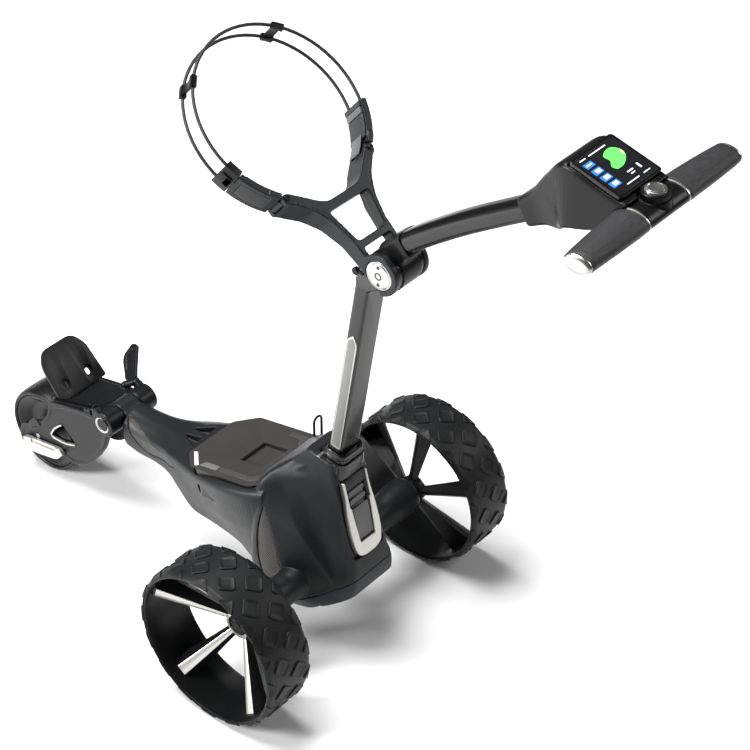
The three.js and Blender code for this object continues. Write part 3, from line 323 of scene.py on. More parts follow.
def crisp(name, body, material, adds, cuts=(), bevel=0.8, segments=3, nodes=(), angle=35):
    """Clean hard-surface piece with a small bevel on its sharp edges."""
    obj = shaped(name, adds, cuts)
    if bevel:
        edge = obj.modifiers.new("bevel", "BEVEL")
        edge.width = bevel / 1000
        edge.segments = segments
        edge.limit_method = "ANGLE"
        edge.angle_limit = 40 * DEG
        edge.use_clamp_overlap = True
        settle(obj)
    shade(obj, angle)
    return finish_piece(obj, body, material, nodes)


# ------------------------------------------------------------------ materials

def add_node(tree, kind, values=(), sources=(), **settings):
    """New shader node: settings are its attributes, values its constants and sources the sockets that feed it."""
    node = tree.nodes.new(f"ShaderNode{kind}")
    for name, setting in settings.items():
        setattr(node, name, setting)
    for name, value in dict(values).items():
        node.inputs[name].default_value = value
    for name, socket in dict(sources).items():
        tree.links.new(socket, node.inputs[name])
    return node


def material(name, slot, colour, roughness, metallic=0.0, coat=0.0, coat_roughness=0.1, grain=0.0,
             grain_scale=900.0, vary=0.12, smudge=0.08, pattern=None, specular=0.5):
    """Procedural finish: slow colour drift, uneven roughness, fine moulded grain and an optional pattern."""
    mat = bpy.data.materials.new(name)
    mat["slot"] = slot
    mat.use_nodes = True
    tree = mat.node_tree
    shader = tree.nodes["Principled BSDF"]
    for socket, value in (("Metallic", metallic), ("Coat Weight", coat), ("Coat Roughness", coat_roughness),
                          ("Specular IOR Level", specular)):
        shader.inputs[socket].default_value = value
    place = add_node(tree, "TexCoord").outputs["Object"]
    drift = add_node(tree, "TexNoise", {"Scale": 9, "Detail": 4}, {"Vector": place})
    ramp = add_node(tree, "ValToRGB", sources={"Fac": drift.outputs["Fac"]})
    for stop, position, factor in zip(ramp.color_ramp.elements, (0.3, 0.7), (1 - vary, 1 + vary)):
        stop.position = position
        stop.color = (*(min(c * factor, 1) for c in colour), 1)
    marks = add_node(tree, "TexNoise", {"Scale": 38, "Detail": 7, "Roughness": 0.65}, {"Vector": place})
    span = {"To Min": max(roughness - smudge, 0.03), "To Max": min(roughness + smudge, 1)}
    spread = add_node(tree, "MapRange", span, {"Value": marks.outputs["Fac"]})
    tree.links.new(spread.outputs["Result"], shader.inputs["Roughness"])
    base, height, depth = ramp.outputs["Color"], None, grain
    if pattern:
        base, height, depth = pattern(tree, place, base)
    elif grain:
        height = add_node(tree, "TexNoise", {"Scale": grain_scale, "Detail": 3}, {"Vector": place}).outputs["Fac"]
    if height is not None:
        bump = add_node(tree, "Bump", {"Strength": 0.6, "Distance": depth / 1000}, {"Height": height})
        tree.links.new(bump.outputs["Normal"], shader.inputs["Normal"])
    tree.links.new(base, shader.inputs["Base Color"])
    return mat


def stripes(direction, pitch, depth, width=0.5, groove_shade=0.55):
    """Fine parallel ribs at a pitch in mm along a direction; painted shade darkens the colour in the grooves between
    them.
    """
    def build(tree, place, base):
        dot = add_node(tree, "VectorMath", {1: Vector(direction).normalized() * (1000 / pitch)}, {0: place},
                       operation="DOT_PRODUCT")
        wave = add_node(tree, "Math", {1: 0.5}, {0: dot.outputs["Value"]}, operation="PINGPONG")
        start = 0.5 * (1 - width)
        ribs = add_node(tree, "MapRange", {"From Min": start, "From Max": start + 0.14},
                        {"Value": wave.outputs["Value"]}, interpolation_type="SMOOTHSTEP").outputs["Result"]
        # painted shade: the base colour is darkened in the grooves between the ribs
        shadow = add_node(tree, "MapRange", {"To Min": groove_shade, "To Max": 1.0}, {"Value": ribs})
        mix = add_node(tree, "Mix", {"Factor": 1.0}, {"A": base, "B": shadow.outputs["Result"]},
                       data_type="RGBA", blend_type="MULTIPLY")
        return mix.outputs["Result"], ribs, depth
    return build


def leather_pattern(tree, place, base):
    cells = add_node(tree, "TexVoronoi", {"Scale": 620}, {"Vector": place}, feature="DISTANCE_TO_EDGE")
    shape = add_node(tree, "MapRange", {"From Max": 0.16}, {"Value": cells.outputs["Distance"]})
    return base, shape.outputs["Result"], 0.35


def weave_pattern(tree, place, base):
    weave = add_node(tree, "TexVoronoi", {"Scale": 900}, {"Vector": place})
    return base, weave.outputs["Distance"], 0.4


def brushed_pattern(tree, place, base):
    stretch = add_node(tree, "Mapping", {"Scale": (60, 900, 900)}, {"Vector": place})
    fine = add_node(tree, "TexNoise", {"Scale": 3}, {"Vector": stretch.outputs["Vector"]})
    return base, fine.outputs["Fac"], 0.03


CHARCOAL = material("charcoal_plastic", "charcoal", (0.011, 0.0116, 0.0128), 0.40, grain=0.05, specular=0.2)
FRAME_GREY = material("frame_plastic", "charcoal", (0.013, 0.0143, 0.0156), 0.36, grain=0.04, specular=0.22)
FORK_BLACK = material("fork_plastic", "charcoal", (0.006, 0.0063, 0.007), 0.36, grain=0.05, specular=0.2)
BUMPER_GREY = material("bumper_plastic", "bumper", (0.017, 0.0205, 0.0255), 0.42, grain=0.05, specular=0.2)
GLOSS = material("gloss_black_paint", "gloss_black", (0.003, 0.003, 0.0035), 0.24, coat=0.12, coat_roughness=0.10,
                 smudge=0.04, grain=0.01, grain_scale=300, specular=0.35)
LEVER_BLACK = material("lever_gloss", "lever_black", (0.006, 0.0065, 0.007), 0.2, coat=0.3, smudge=0.04, grain=0.01)
SATIN = material("satin_black", "satin_black", (0.004, 0.0041, 0.0046), 0.34, grain=0.04, specular=0.2)
TYRE = material("tyre_rubber", "tyre", (0.009, 0.0094, 0.010), 0.46, grain=0.08, grain_scale=600, vary=0.15,
                specular=0.2)
TYRE_SIDE = material("front_tyre_rubber", "tyre", (0.007, 0.007, 0.0075), 0.36, grain=0.05, grain_scale=600,
                     specular=0.2)
RIM = material("rim_plastic", "rim", (0.006, 0.0063, 0.0068), 0.32, grain=0.03, specular=0.2)
SILVER = material("champagne_silver", "silver", (0.52, 0.51, 0.48), 0.30, metallic=0.75, vary=0.04,
                  pattern=brushed_pattern)
CAP_SILVER = material("cap_silver", "silver", (0.48, 0.475, 0.46), 0.24, metallic=0.95, vary=0.04,
                      pattern=brushed_pattern)
INLAY = material("inlay_silver", "silver", (0.30, 0.30, 0.295), 0.4, metallic=0.7, vary=0.06,
                 pattern=stripes((0.0, 0.75, 0.66), 2.4, 0.25, 0.55, 0.62))
STEEL = material("plain_steel", "steel", (0.40, 0.40, 0.41), 0.35, metallic=0.95, pattern=brushed_pattern)
CASE = material("battery_case", "battery", (0.034, 0.032, 0.030), 0.36, grain=0.05, specular=0.25)
LABEL = material("battery_plate", "battery", (0.12, 0.118, 0.114), 0.35, grain=0.03)
TAB = material("battery_tab", "battery", (0.62, 0.61, 0.59), 0.4, grain=0.03, vary=0.03)
CASE_RIBS = material("battery_ribs", "battery", (0.060, 0.056, 0.052), 0.45,
                     pattern=stripes((1, 0.35, 0), 2.2, 0.3, 0.5, 0.35))
LEATHER = material("grip_leather", "leather", (0.016, 0.016, 0.0175), 0.44, pattern=leather_pattern)
STITCH = material("grip_thread", "leather", (0.070, 0.070, 0.074), 0.7, grain=0.1)
BAND = material("elastic_band", "band", (0.008, 0.0085, 0.0085), 0.55, pattern=weave_pattern)
PAD = material("pad_webbing", "band", (0.018, 0.019, 0.020), 0.55,
               pattern=stripes((0.3, 0.77, -0.64), 1.5, 0.2, 0.6, 0.7))
PAD_LIGHT = material("pad_strap", "band", (0.085, 0.09, 0.092), 0.42, pattern=weave_pattern)
# The last stripes argument sets how dark the painted groove shade is; the vent and insert grooves are nearly black.
VENT = material("vent_ribs", "charcoal", (0.040, 0.035, 0.030), 0.4,
                pattern=stripes((0.15, 0.55, 0.83), 4.2, 0.9, 0.55, 0.15))
INSERT = material("insert_ribs", "charcoal", (0.034, 0.031, 0.027), 0.4,
                  pattern=stripes((0.4, 0.85, 0.35), 3.6, 0.7, 0.5, 0.15))
BOARD = material("circuit_board", "board", (0.02, 0.12, 0.05), 0.45, grain=0.03)
GLASS = material("display_glass", "glass", (0.010, 0.011, 0.014), 0.14, coat=0.5, coat_roughness=0.04,
                 smudge=0.03, grain=0.004)


def glowing(name, colour, strength=0.7):
    mat = material(name, "glass", colour, 0.3, vary=0.06, grain=0.004)
    shader = mat.node_tree.nodes["Principled BSDF"]
    shader.inputs["Emission Color"].default_value = (*colour, 1)
    shader.inputs["Emission Strength"].default_value = strength
    return mat


def repaint(node, mat):
    obj = NODES[node]
    obj.data.materials.clear()
    obj.data.materials.append(mat)
    shade(obj, 40)


# ------------------------------------------------------------------ hoop bands

BAND_RADIUS = 2.6
BAND_DEPTHS = {"rear": 19, "front": 52.5}
BAND_SPAN = (-14, 201)


def on_hoop(radius, degrees, depth=None):
    x = radius * math.cos(degrees * DEG)
    y = HOOP_CENTRE + radius * math.sin(degrees * DEG)
    return Vector((x, y)) if depth is None else Vector((x, y, depth))


def hoop_band(name, depth):
    points = [BRACKET @ on_hoop(HOOP_RADIUS, BAND_SPAN[0] + (BAND_SPAN[1] - BAND_SPAN[0]) * i / 39, depth)
              for i in range(40)]
    curve = bpy.data.curves.new(name, "CURVE")
    curve.dimensions = "3D"
    curve.bevel_depth = BAND_RADIUS / 1000
    curve.bevel_resolution = 5
    curve.use_fill_caps = True
    spline = curve.splines.new("POLY")
    spline.points.add(len(points) - 1)
    for point, p in zip(spline.points, points):
        point.co = (*(MM @ p), 1)
    spline.use_smooth = True
    obj = bpy.data.objects.new(name, curve)
    bpy.context.scene.collection.objects.link(obj)
    curve.materials.append(BAND)
    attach(obj, "right_arm")
    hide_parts(name.replace("_cord", "_band"))


for which, band_depth in BAND_DEPTHS.items():
    hoop_band(f"{which}_hoop_cord", band_depth)


def sector(r0, r1, start, end, steps=16):
    outer = [on_hoop(r1, start + (end - start) * i / steps) for i in range(steps + 1)]
    inner = [on_hoop(r0, end + (start - end) * i / steps) for i in range(steps + 1)]
    return outer + inner


def band_bores(start, end):
    return [sweep([on_hoop(HOOP_RADIUS, start + (end - start) * i / 8, depth) for i in range(9)],
                  circle(BAND_RADIUS + 0.5, 16), (0, 0, 1)) for depth in BAND_DEPTHS.values()]


def in_bracket(solids):
    return [moved(s, BRACKET) for s in solids]


# ------------------------------------------------------------------ rear wheels

WHEEL_R, WHEEL_IN, WHEEL_OUT, RIM_R = 142.4, 204.4, 300, 135
HUB_FACE = WHEEL_IN + 16
CROWN_R = 139.7


def polar(radius, degrees, x):
    return Vector((x, radius * math.cos(degrees * DEG), radius * math.sin(degrees * DEG)))


def knob(x, degrees, side, height, corner, clip=None):
    """Rounded square pad lying on the crown, turned 45 degrees, with a shallow dish in its top."""
    outline = rounded([(side * 0.7071, 0), (0, side * 0.7071), (-side * 0.7071, 0), (0, -side * 0.7071)], corner, 4)
    rings = []
    for scale, lift in ((1.08, -1.6), (1.02, height * 0.35), (0.99, height * 0.8), (0.94, height),
                        (0.86, height), (0.80, height - 0.55), (0.4, height - 0.65), (0.02, height - 0.65)):
        ring = []
        for p in outline:
            px, arc = x + p.x * scale, p.y * scale
            if clip:
                px = max(min(px, clip[1]), clip[0])
            shoulder = shoulder_drop(px)
            radius = CROWN_R - shoulder + min(lift, WHEEL_R - CROWN_R)
            turn = degrees + arc / CROWN_R / DEG
            ring.append(polar(radius, turn, px))
        rings.append(ring)
    return loft(rings)


def shoulder_drop(x):
    edge = min(x - WHEEL_IN, WHEEL_OUT - x)
    return 0.0 if edge > 9 else 5.5 * (1 - max(edge, 0) / 9) ** 2


def tyre_carcass():
    profile = [(RIM_R + 0.4, WHEEL_IN + 1.5), (RIM_R + 0.4, WHEEL_OUT - 1.5)]
    for k in range(7):
        x = WHEEL_OUT - 9 * k / 6
        profile.append((CROWN_R - shoulder_drop(x), x))
    for k in range(7):
        x = WHEEL_IN + 9 - 9 * k / 6
        profile.append((CROWN_R - shoulder_drop(x), x))
    return lathe(profile, steps=160)


def mirror_x(solid):
    return [Vector((-p.x, p.y, p.z)) for p in solid[0]], solid[1]


def tyre_tread():
    pads = []
    for k in range(16):
        pads.append(knob(235, 0.5 + 22.5 * k, 27.5, 2.7, 6.5))
        pads.append(knob(268.5, 11.75 + 22.5 * k, 27.5, 2.7, 6.5))
        pads.append(knob(204.4, 11.25 + 22.5 * k, 25, 2.7, 5.5, clip=(204.9, 300)))
        pads.append(knob(300, 0.5 + 22.5 * k, 25, 2.7, 5.5, clip=(204, 299.5)))
    return together(*pads)


def spoke(degrees):
    """Blade from hub to rim: a pointed keel towards the inside, two flanks and a bright outer edge."""
    rings = []
    for t in [i / 14 for i in range(15)]:
        r = 15 + (133.5 - 15) * t
        face = HUB_FACE + 1.5 + 58.5 * (r - 25) / 105 if r > 25 else HUB_FACE + 0.8
        wide = 8.5 + 13.5 * t ** 1.25
        top = 4.3 + 6.2 * t
        keel = 11 + 40 * t ** 1.1
        shape = [(face, -top), (face, top), (face - 2.5, top + 1.6), (face - keel * 0.42, wide),
                 (face - keel * 0.5, wide), (face - keel, 2.6), (face - keel, -2.6),
                 (face - keel * 0.5, -wide), (face - keel * 0.42, -wide), (face - 2.5, -top - 1.6)]
        c, s = math.cos(degrees * DEG), math.sin(degrees * DEG)
        rings.append([Vector((x, r * c - w * s, r * s + w * c)) for x, w in shape])
    return loft(rings)


def spoke_trim(degrees):
    rings = []
    c, s = math.cos(degrees * DEG), math.sin(degrees * DEG)
    for t in [i / 10 for i in range(11)]:
        r = 24 + 103 * t
        x = HUB_FACE + 1.9 + 58.5 * (r - 25) / 105
        half = 3.9 + 5.4 * t
        shape = [(x, -half), (x, half), (x + 1.0, half), (x + 1.6, half - 0.8), (x + 1.6, -half + 0.8),
                 (x + 1.0, -half)]
        rings.append([Vector((px, r * c - w * s, r * s + w * c)) for px, w in shape])
    return loft(rings)


SPOKES = [18 + 72 * k for k in range(5)]
RIM_BARREL = [(RIM_R, WHEEL_IN + 2), (RIM_R, WHEEL_OUT - 2.2), (RIM_R - 0.8, WHEEL_OUT - 1.4),
              (RIM_R - 3.2, WHEEL_OUT - 1.4), (RIM_R - 4.2, WHEEL_OUT - 3), (RIM_R - 3.6, WHEEL_OUT - 12),
              (RIM_R - 3.6, WHEEL_IN + 12), (RIM_R - 4.2, WHEEL_IN + 3), (RIM_R - 3.2, WHEEL_IN + 2)]


def on_wheel(solids, sign):
    turn = Matrix.Translation((0, 0, WHEEL_R))
    return [moved(s if sign > 0 else mirror_x(s), turn) for s in solids]


for side, sign in SIDES:
    body = f"{side}_wheel"
    crisp(f"{side}_tyre", body, TYRE, on_wheel([together(tyre_carcass(), tyre_tread())], sign), bevel=0,
          nodes=[f"{side}_rear_tyre"], angle=42)
    hub = [lathe([(8.9, WHEEL_IN - 3.5), (22, WHEEL_IN - 3.5), (23.5, WHEEL_IN), (23.5, HUB_FACE - 1),
                  (22, HUB_FACE + 1.5), (17.6, HUB_FACE + 1.5), (17.6, WHEEL_IN + 5), (8.9, WHEEL_IN + 5)], steps=64)]
    rim = [lathe(RIM_BARREL, steps=160)] + hub + [spoke(a) for a in SPOKES]
    crisp(f"{side}_rim", body, RIM, on_wheel(rim, sign), on_wheel([disc(17.6, WHEEL_IN + 5, HUB_FACE + 20)], sign),
          bevel=0.9, nodes=[f"{side}_rear_rim"], angle=30)
    ring = lathe([(23.2, HUB_FACE + 1.9), (23.2, HUB_FACE + 3.2), (22.2, HUB_FACE + 3.8), (18.6, HUB_FACE + 3.8),
                  (18.2, HUB_FACE + 3.2), (18.2, HUB_FACE + 1.9)], steps=64)
    crisp(f"{side}_trim", body, SILVER, on_wheel([ring] + [spoke_trim(a) for a in SPOKES], sign), bevel=0,
          nodes=[f"{side}_spoke_trim"])
    cap = lathe([(0, WHEEL_IN + 9), (16.6, WHEEL_IN + 9), (16.6, HUB_FACE + 2.5), (15.8, HUB_FACE + 3.6),
                 (13.2, HUB_FACE + 5.0), (11.6, HUB_FACE + 5.2), (11, HUB_FACE + 4.4), (8, HUB_FACE + 4.4),
                 (7.4, HUB_FACE + 5.4), (4, HUB_FACE + 6), (0, HUB_FACE + 6)], steps=64)
    crisp(f"{side}_hub_cap", f"{side}_button", SATIN, on_wheel([cap], sign), bevel=0,
          nodes=[f"{side}_wheel_button"])
    repaint(f"{side}_half_axle", STEEL)

# ------------------------------------------------------------------ chassis

LEVELS = [
    (84, [(50, -95), (76, -86), (84, -60), (84, -10), (72, 24), (60, 42), (52, 54), (44, 64)]),
    (110, [(56, -100), (90, -90), (96, -60), (96, -8), (86, 28), (74, 50), (64, 66), (50, 87)]),
    (135, [(60, -102), (93, -92), (98, -62), (98, -8), (84, 40), (72, 60), (64, 74), (50, 92)]),
    (160, [(62, -102), (94, -92), (97, -62), (96, -14), (71, 60), (64, 68), (60, 78), (47, 92)]),
    (200, [(64, -100), (92, -90), (95, -62), (93, -28), (76, 40), (57, 45), (51, 60), (43, 85)]),
    (241, [(66, -98), (89, -88), (92, -68), (90, -46), (79, 8), (55, 22), (46, 42), (41, 75)]),
    (275, [(66, -94), (84, -86), (87, -76), (85, -62), (71, -22), (52, 14), (42, 40), (40.5, 66)]),
    (300, [(60, -90), (75, -84), (79, -78), (77, -68), (64, -42), (50, 4), (41, 36), (40, 59)]),
    (320, [(50, -75), (60, -71), (63, -67), (62, -60), (56, -30), (48, 2), (40, 32), (39.5, 53.5)]),
    (345, [(34, -46), (39, -43), (41, -40), (41, -34), (40, -15), (39.5, 6), (38.5, 25), (38, 46.5)]),
    (376, [(24, -18), (30, -16), (33, -13), (34, -8), (34.5, -2), (35, 4), (35, 14), (34, 40)]),
]
# Corner radii, front to back, of every level
CORNER_EASE = (14, 12, 16, 12, 4, 16, 16, 12)


def body_levels():
    rings = []
    for z, half in LEVELS:
        eased = [(x, y, radius) for (x, y), radius in zip(half, CORNER_EASE)]
        left = [(-x, y, radius) for x, y, radius in reversed(eased)]
        outline = rounded([(0, half[0][1], 9)] + eased + [(0, half[-1][1], 9)] + left, 9, 4)
        rings.append([Vector((p.x, p.y, z)) for p in outline])
    return smooth_loft(rings, 4)


NECK = [
    (-442, [(14, 226), (34, 210), (36, 182), (27, 155)]),
    (-410, [(16, 226), (37, 206), (37, 175), (28, 152)]),
    (-370, [(18, 230), (41, 208), (39, 176), (29, 155)]),
    (-335, [(22, 236), (50, 218), (44, 180), (32, 150)]),
    (-308, [(28, 240), (60, 226), (51, 178), (35, 128)]),
    (-280, [(40, 246), (68, 232), (55, 170), (35, 102)]),
    (-243, [(60, 250), (80, 238), (60, 168), (35, 99)]),
    (-200, [(74, 258), (90, 248), (67, 170), (37, 98)]),
    (-161, [(86, 267), (96, 258), (76, 176), (42, 97)]),
    (-125, [(88, 275), (97, 266), (82, 186), (55, 96)]),
    (-95, [(86, 283), (94, 274), (87, 196), (68, 96)]),
    (-66, [(80, 293), (88, 284), (88, 204), (78, 96)]),
]


def along_y(sections, radius):
    rings = [[Vector((p.x, y, p.y)) for p in rounded(mirrored(half), radius, 3)] for y, half in sections]
    return smooth_loft(rings, 4)


SHOULDER = [
    (-92, [(70, 286), (80, 264), (80, 200), (60, 150)]),
    (-60, [(60, 314), (70, 292), (74, 200), (60, 150)]),
    (-30, [(44, 343), (54, 316), (60, 200), (60, 150)]),
    (0, [(32, 367), (38, 345), (46, 200), (50, 150)]),
]
AXLE_HALF = [(30, 88), (27, 108), (28, 130), (31, 152), (32.5, 172), (32.5, 188), (31.5, 195), (29.5, 198),
             (27, 198.9), (0, 198.9)]
AXLE_CONE = [(r, -x) for r, x in reversed(AXLE_HALF)] + AXLE_HALF
BATTERY_OUTLINE = [(66, 85), (80, 71), (80, -51), (48, -86), (-48, -86), (-80, -51), (-80, 71), (-66, 85)]


def grown(outline, by):
    return [(x + math.copysign(by, x), y + math.copysign(by, y)) for x, y in outline]


SLOPE = math.atan2(48, 74)
BELOW = Matrix.Translation((0, 18, 84)) @ Matrix.Rotation(SLOPE, 4, "X")
BUMPER_TALL = 26


def below(raise_by):
    return box(-150, 150, -400, 300, -300, raise_by, BELOW)


SEAT_CUT = box(-60, 60, -70, 60, -15.5, 40, SHAFT)
PIVOT = (0, 9, 372)


def seat_ears():
    ears = []
    for sign in (1, -1):
        x0, x1 = on_side(sign, 29.6, 33)
        ears.append(disc(8, x0, x1, PIVOT))
        ears.append(box(x0, x1, 2, 16, 350, 372))
    return ears


NECK_EYE = [disc(23.5, -20.6, 20.6, (0, -469.1, 204.1)), box(-20.6, 20.6, -469, -430, 182, 220)]
BARREL_CLEAR = [disc(26.5, -70, -20.6, (0, -469.1, 204.1)), disc(26.5, 20.6, 70, (0, -469.1, 204.1))]
DECK_HOLES = [prism(rounded([(6 * s, -276), (31 * s, -276), (9 * s, -313)], 4), 232, 290) for s in (1, -1)]
DRIVE_BAY = box(-72, 72, -92, 44, 60, 176)
BAY = prism(rounded(grown(BATTERY_OUTLINE, 1.3), 7), -59, 60, BATTERY)
PANEL_POCKET = prism(rounded([(36.3, -72.3), (36.3, 72.3), (-36.3, 72.3), (-36.3, -72.3)], 12), -9, 40, PANEL)
LOOP_POCKET = box(-74.4, -45.6, -79.4, -70.6, 293.6, 340)


def drawn_in(outline, by):
    """Outline whose points move towards its middle."""
    middle = Vector((sum(p[0] for p in outline), sum(p[1] for p in outline))) / len(outline)
    return [(*(Vector(p[:2]) - (Vector(p[:2]) - middle).normalized() * by), *p[2:]) for p in outline]


def slope_line(y, raise_by):
    return 84 + (y - 18) * 48 / 74 + raise_by / math.cos(SLOPE)


def bumper_zone(front, raise_by):
    return side_prism([(front, -100), (140, -100), (140, slope_line(140, raise_by)),
                       (front, slope_line(front, raise_by))], -100, 100)


# Leaf-shaped vents on the haunches and ribbed inserts on the neck:
# outline in Y and Z, innermost X, set-back in X and Z, material.
INSETS = {
    "vent": ([(-63, 268, 3), (-74, 215, 20), (-72, 160, 20), (-58, 124, 6), (-16, 138, 8), (-26, 176, 20),
              (-46, 232, 20)], 78, (1.2, 0), VENT),
    "neck_rib": ([(-441, 222, 3), (-420, 196, 12), (-392, 181, 12), (-364, 180, 12), (-336, 192, 12), (-306, 197, 10),
                  (-293, 206, 4), (-312, 214, 10), (-340, 208, 12), (-366, 206, 12), (-400, 214, 12)], 20, (0.8, 0.6),
                 INSERT),
}
inset_cuts = []
for outline, x0, _back, _mat in INSETS.values():
    for sign in (1, -1):
        inset_cuts.append(side_prism(rounded(outline, 10, 4), *on_side(sign, x0, 130)))

outer = [body_levels(), along_y(NECK, 9), along_y(SHOULDER, 10),
         lathe(AXLE_CONE, centre=(0, 0, WHEEL_R), steps=72)]
moulded("shell", "chassis", CHARCOAL, outer + seat_ears() + NECK_EYE,
        [below(0), BAY, DRIVE_BAY, SEAT_CUT, PANEL_POCKET, LOOP_POCKET, disc(10, -210, 210, (0, 0, WHEEL_R)),
         box(-20.8, 20.8, -0.5, 18, 362.5, 402), bumper_zone(-6.5, BUMPER_TALL + 0.5)]
        + BARREL_CLEAR + DECK_HOLES + inset_cuts, voxel=1.6, smooth=3, nodes=["chassis_shell"])
moulded("bumper", "chassis", BUMPER_GREY, outer, [below(0), box(-73.5, 73.5, -20, 44.9, 0, 300)],
        keep=[bumper_zone(-6, BUMPER_TALL)], voxel=1.5, smooth=3, nodes=["rear_bumper"])
for label, (outline, x0, back, mat) in INSETS.items():
    for side, sign in SIDES:
        zone = side_prism(rounded(drawn_in(outline, 0.7), 10, 4), *on_side(sign, x0 + 0.3, 130))
        shifted = [moved(s, Matrix.Translation((-back[0] * sign, 0, -back[1]))) for s in outer]
        moulded(f"{side}_{label}", "chassis", mat, shifted, keep=[zone], voxel=1.1, smooth=2)
repaint("base_cover", SATIN)
repaint("gearbox", STEEL)
repaint("drive_motor", STEEL)
repaint("control_board", BOARD)

# ------------------------------------------------------------------ battery and wire loop


def battery_case():
    rings = []
    for z, inset in ((-58, 0.6), (-57.4, 0), (-4.5, 0), (-1.2, 3.2), (-0.3, 4.4), (0, 5.4)):
        rings.append([Vector((p.x, p.y, z)) for p in rounded(grown(BATTERY_OUTLINE, -inset), 6, 4)])
    return loft(rings)


def battery_plate(name, mat, outline, radius, z0, z1, bevel):
    crisp(name, "battery", mat, [prism(rounded(outline, radius), z0, z1, BATTERY)], bevel=bevel)


GRIP_POCKET = prism(rounded(rectangle(-30, 30, 6, 60), 3), -6.8, 4, BATTERY)
crisp("battery_case", "battery", CASE, [moved(battery_case(), BATTERY)], [GRIP_POCKET], bevel=0.35, nodes=["battery"])
rib_bars = [box(x, x + 1.7, 6.2, 7.8, -6.6, -0.5) for x in range(-28, 28, 4)]
rib_bars += [box(-29.8, -28.2, y, y + 1.7, -6.6, -0.5) for y in range(10, 58, 4)]
crisp("battery_grip_ribs", "battery", CASE, [moved(together(*rib_bars), BATTERY)], bevel=0)
battery_plate("battery_hatch", CASE_RIBS, [(74.2, -4, 2), (74.2, 69, 4), (64, 79.4, 4), (52, 79.4, 3), (52, 70, 3),
                                           (62, 60, 3), (62, -4, 2)], 3, -0.2, 0.8, 0.4)
battery_plate("battery_hatch_far", CASE_RIBS, [(-74.2, 30, 2), (-74.2, 69, 4), (-64, 79.4, 4), (-46, 79.4, 3),
                                               (-46, 66, 3), (-62, 56, 3), (-62, 30, 2)], 3, -0.2, 0.8, 0.4)
battery_plate("battery_label", LABEL, [(74.4, -46), (74.4, -8), (62, -8), (62, -40)], 1.5, -0.2, 0.6, 0.3)
battery_plate("battery_tab", TAB, [(47.5, -84.5), (79, -52), (74.5, -46.5), (45, -77.5)], 1.5, -6, 0.5, 1.0)


def wire_path():
    points = [(-51, -75, 299)]
    points += [(-60 + 9 * math.cos(i * 15 * DEG), -75, 345 + 9 * math.sin(i * 15 * DEG)) for i in range(13)]
    return [Vector(p) for p in points + [(-69, -75, 299)]]


crisp("wire_loop", "chassis", SATIN, [sweep(wire_path(), circle(2.1, 16), (0, 1, 0)),
                                      box(-74, -46, -79, -71, 294, 301)], bevel=0.7, nodes=["wire_loop"])

# ------------------------------------------------------------------ rear panel


TRIM_OUTER = [(27.5, 71, 2), (28, 40, 10), (32, 6, 20), (33.2, -28, 14), (31.5, -50, 14), (26, -66, 12), (12, -71, 10)]
TRIM_INNER = [(24, 90, 1), (24, 23, 1.5), (21.2, 21.5, 1.5), (20.8, 4, 10), (17.6, -40, 2), (16.5, -45, 2)]
PANEL_BACK = mirrored([(17, -45), (20.6, 4), (23.7, 24), (23.7, 70)])
LEVER = [(15.2, -41, 3), (16.6, -30, 3), (18.2, 17, 3), (-18.2, 17, 3), (-16.6, -30, 3), (-15.2, -41, 3)]
crisp("panel_trim", "chassis", SILVER, [prism(rounded(mirrored(TRIM_OUTER), 6, 6), -8.5, 2.8, PANEL)],
      [prism(rounded(mirrored(TRIM_INNER), 4, 6), -12, 10, PANEL)], bevel=1.7, segments=5, nodes=["latch_trim"])
crisp("panel_back", "chassis", SATIN, [prism(rounded(PANEL_BACK, 2, 4), -8.9, -7.6, PANEL)], bevel=0.4)
lever_ribs = [prism(rounded([(18, y), (18, y + 8), (-18, y + 8), (-18, y)], 3.5), -7, -2.4, PANEL) for y in (24, 39)]
crisp("release_lever", "release_lever", LEVER_BLACK, [
    prism(rounded(LEVER, 5, 6), -7.4, 0.2, PANEL),
    prism(rounded(rectangle(-18.4, 18.4, 15, 52), 3), -7.4, -6.2, PANEL)]
    + lever_ribs, bevel=0.9, nodes=["release_lever"])
crisp("panel_brow", "chassis", CHARCOAL, [prism(rounded(
    [(23.2, 53), (23.2, 73), (-23.2, 73), (-23.2, 53)], 3), -6, 0.4, PANEL)], bevel=1.2)

# ------------------------------------------------------------------ folding shaft

INTO_SHAFT = SHAFT.inverted()
HUB = INTO_SHAFT @ Vector(HINGE)
FOOT = INTO_SHAFT @ Vector(PIVOT)


def ring_z(x0, x1, y0, y1, z, radius, steps=5):
    return [Vector((p.x, p.y, z)) for p in rounded(rectangle(x0, x1, y0, y1), radius, steps)]


def lower_tube():
    return loft([ring_z(-23, 23, -13, 13, z, 5.5) for z in (-15, 120, 240, 352)])


def lower_head():
    return smooth_loft([
        ring_z(-22.9, 22.9, -12.9, 12.9, 336, 5.5), ring_z(-23.2, 23.2, -13, 15, 346, 5.5),
        ring_z(-25, 25, -13.5, 30, 360, 6), ring_z(-28.1, 28.1, -6, HUB.y + 20, HUB.z - 22, 7),
        ring_z(-28.1, 28.1, 10, HUB.y + 18, HUB.z, 7)], 5)


crisp("lower_shaft", "shaft", GLOSS, placed([
    lower_tube(), lower_head(), disc(31, -28.1, 28.1, (0, HUB.y, HUB.z), ease=1.0)], SHAFT), placed([
        disc(35.5, -20.2, 20.2, (0, HUB.y, HUB.z)), box(-20.2, 20.2, HUB.y, HUB.y + 60, HUB.z - 60, HUB.z + 60),
        disc(8.5, -60, 60, (0, HUB.y, HUB.z))], SHAFT), bevel=0.9, nodes=["lower_shaft"])
crisp("shaft_lug", "shaft", SATIN, placed([
    disc(7.6, -20.4, 20.4, (0, FOOT.y, FOOT.z)), box(-20.4, 20.4, FOOT.y - 5, -13, FOOT.z, -9)], SHAFT),
    [moved(disc(4.4, -40, 40, (0, FOOT.y, FOOT.z)), SHAFT)], bevel=0.5)
repaint("shaft_pivot_pin", STEEL)
repaint("hinge_pin", STEEL)


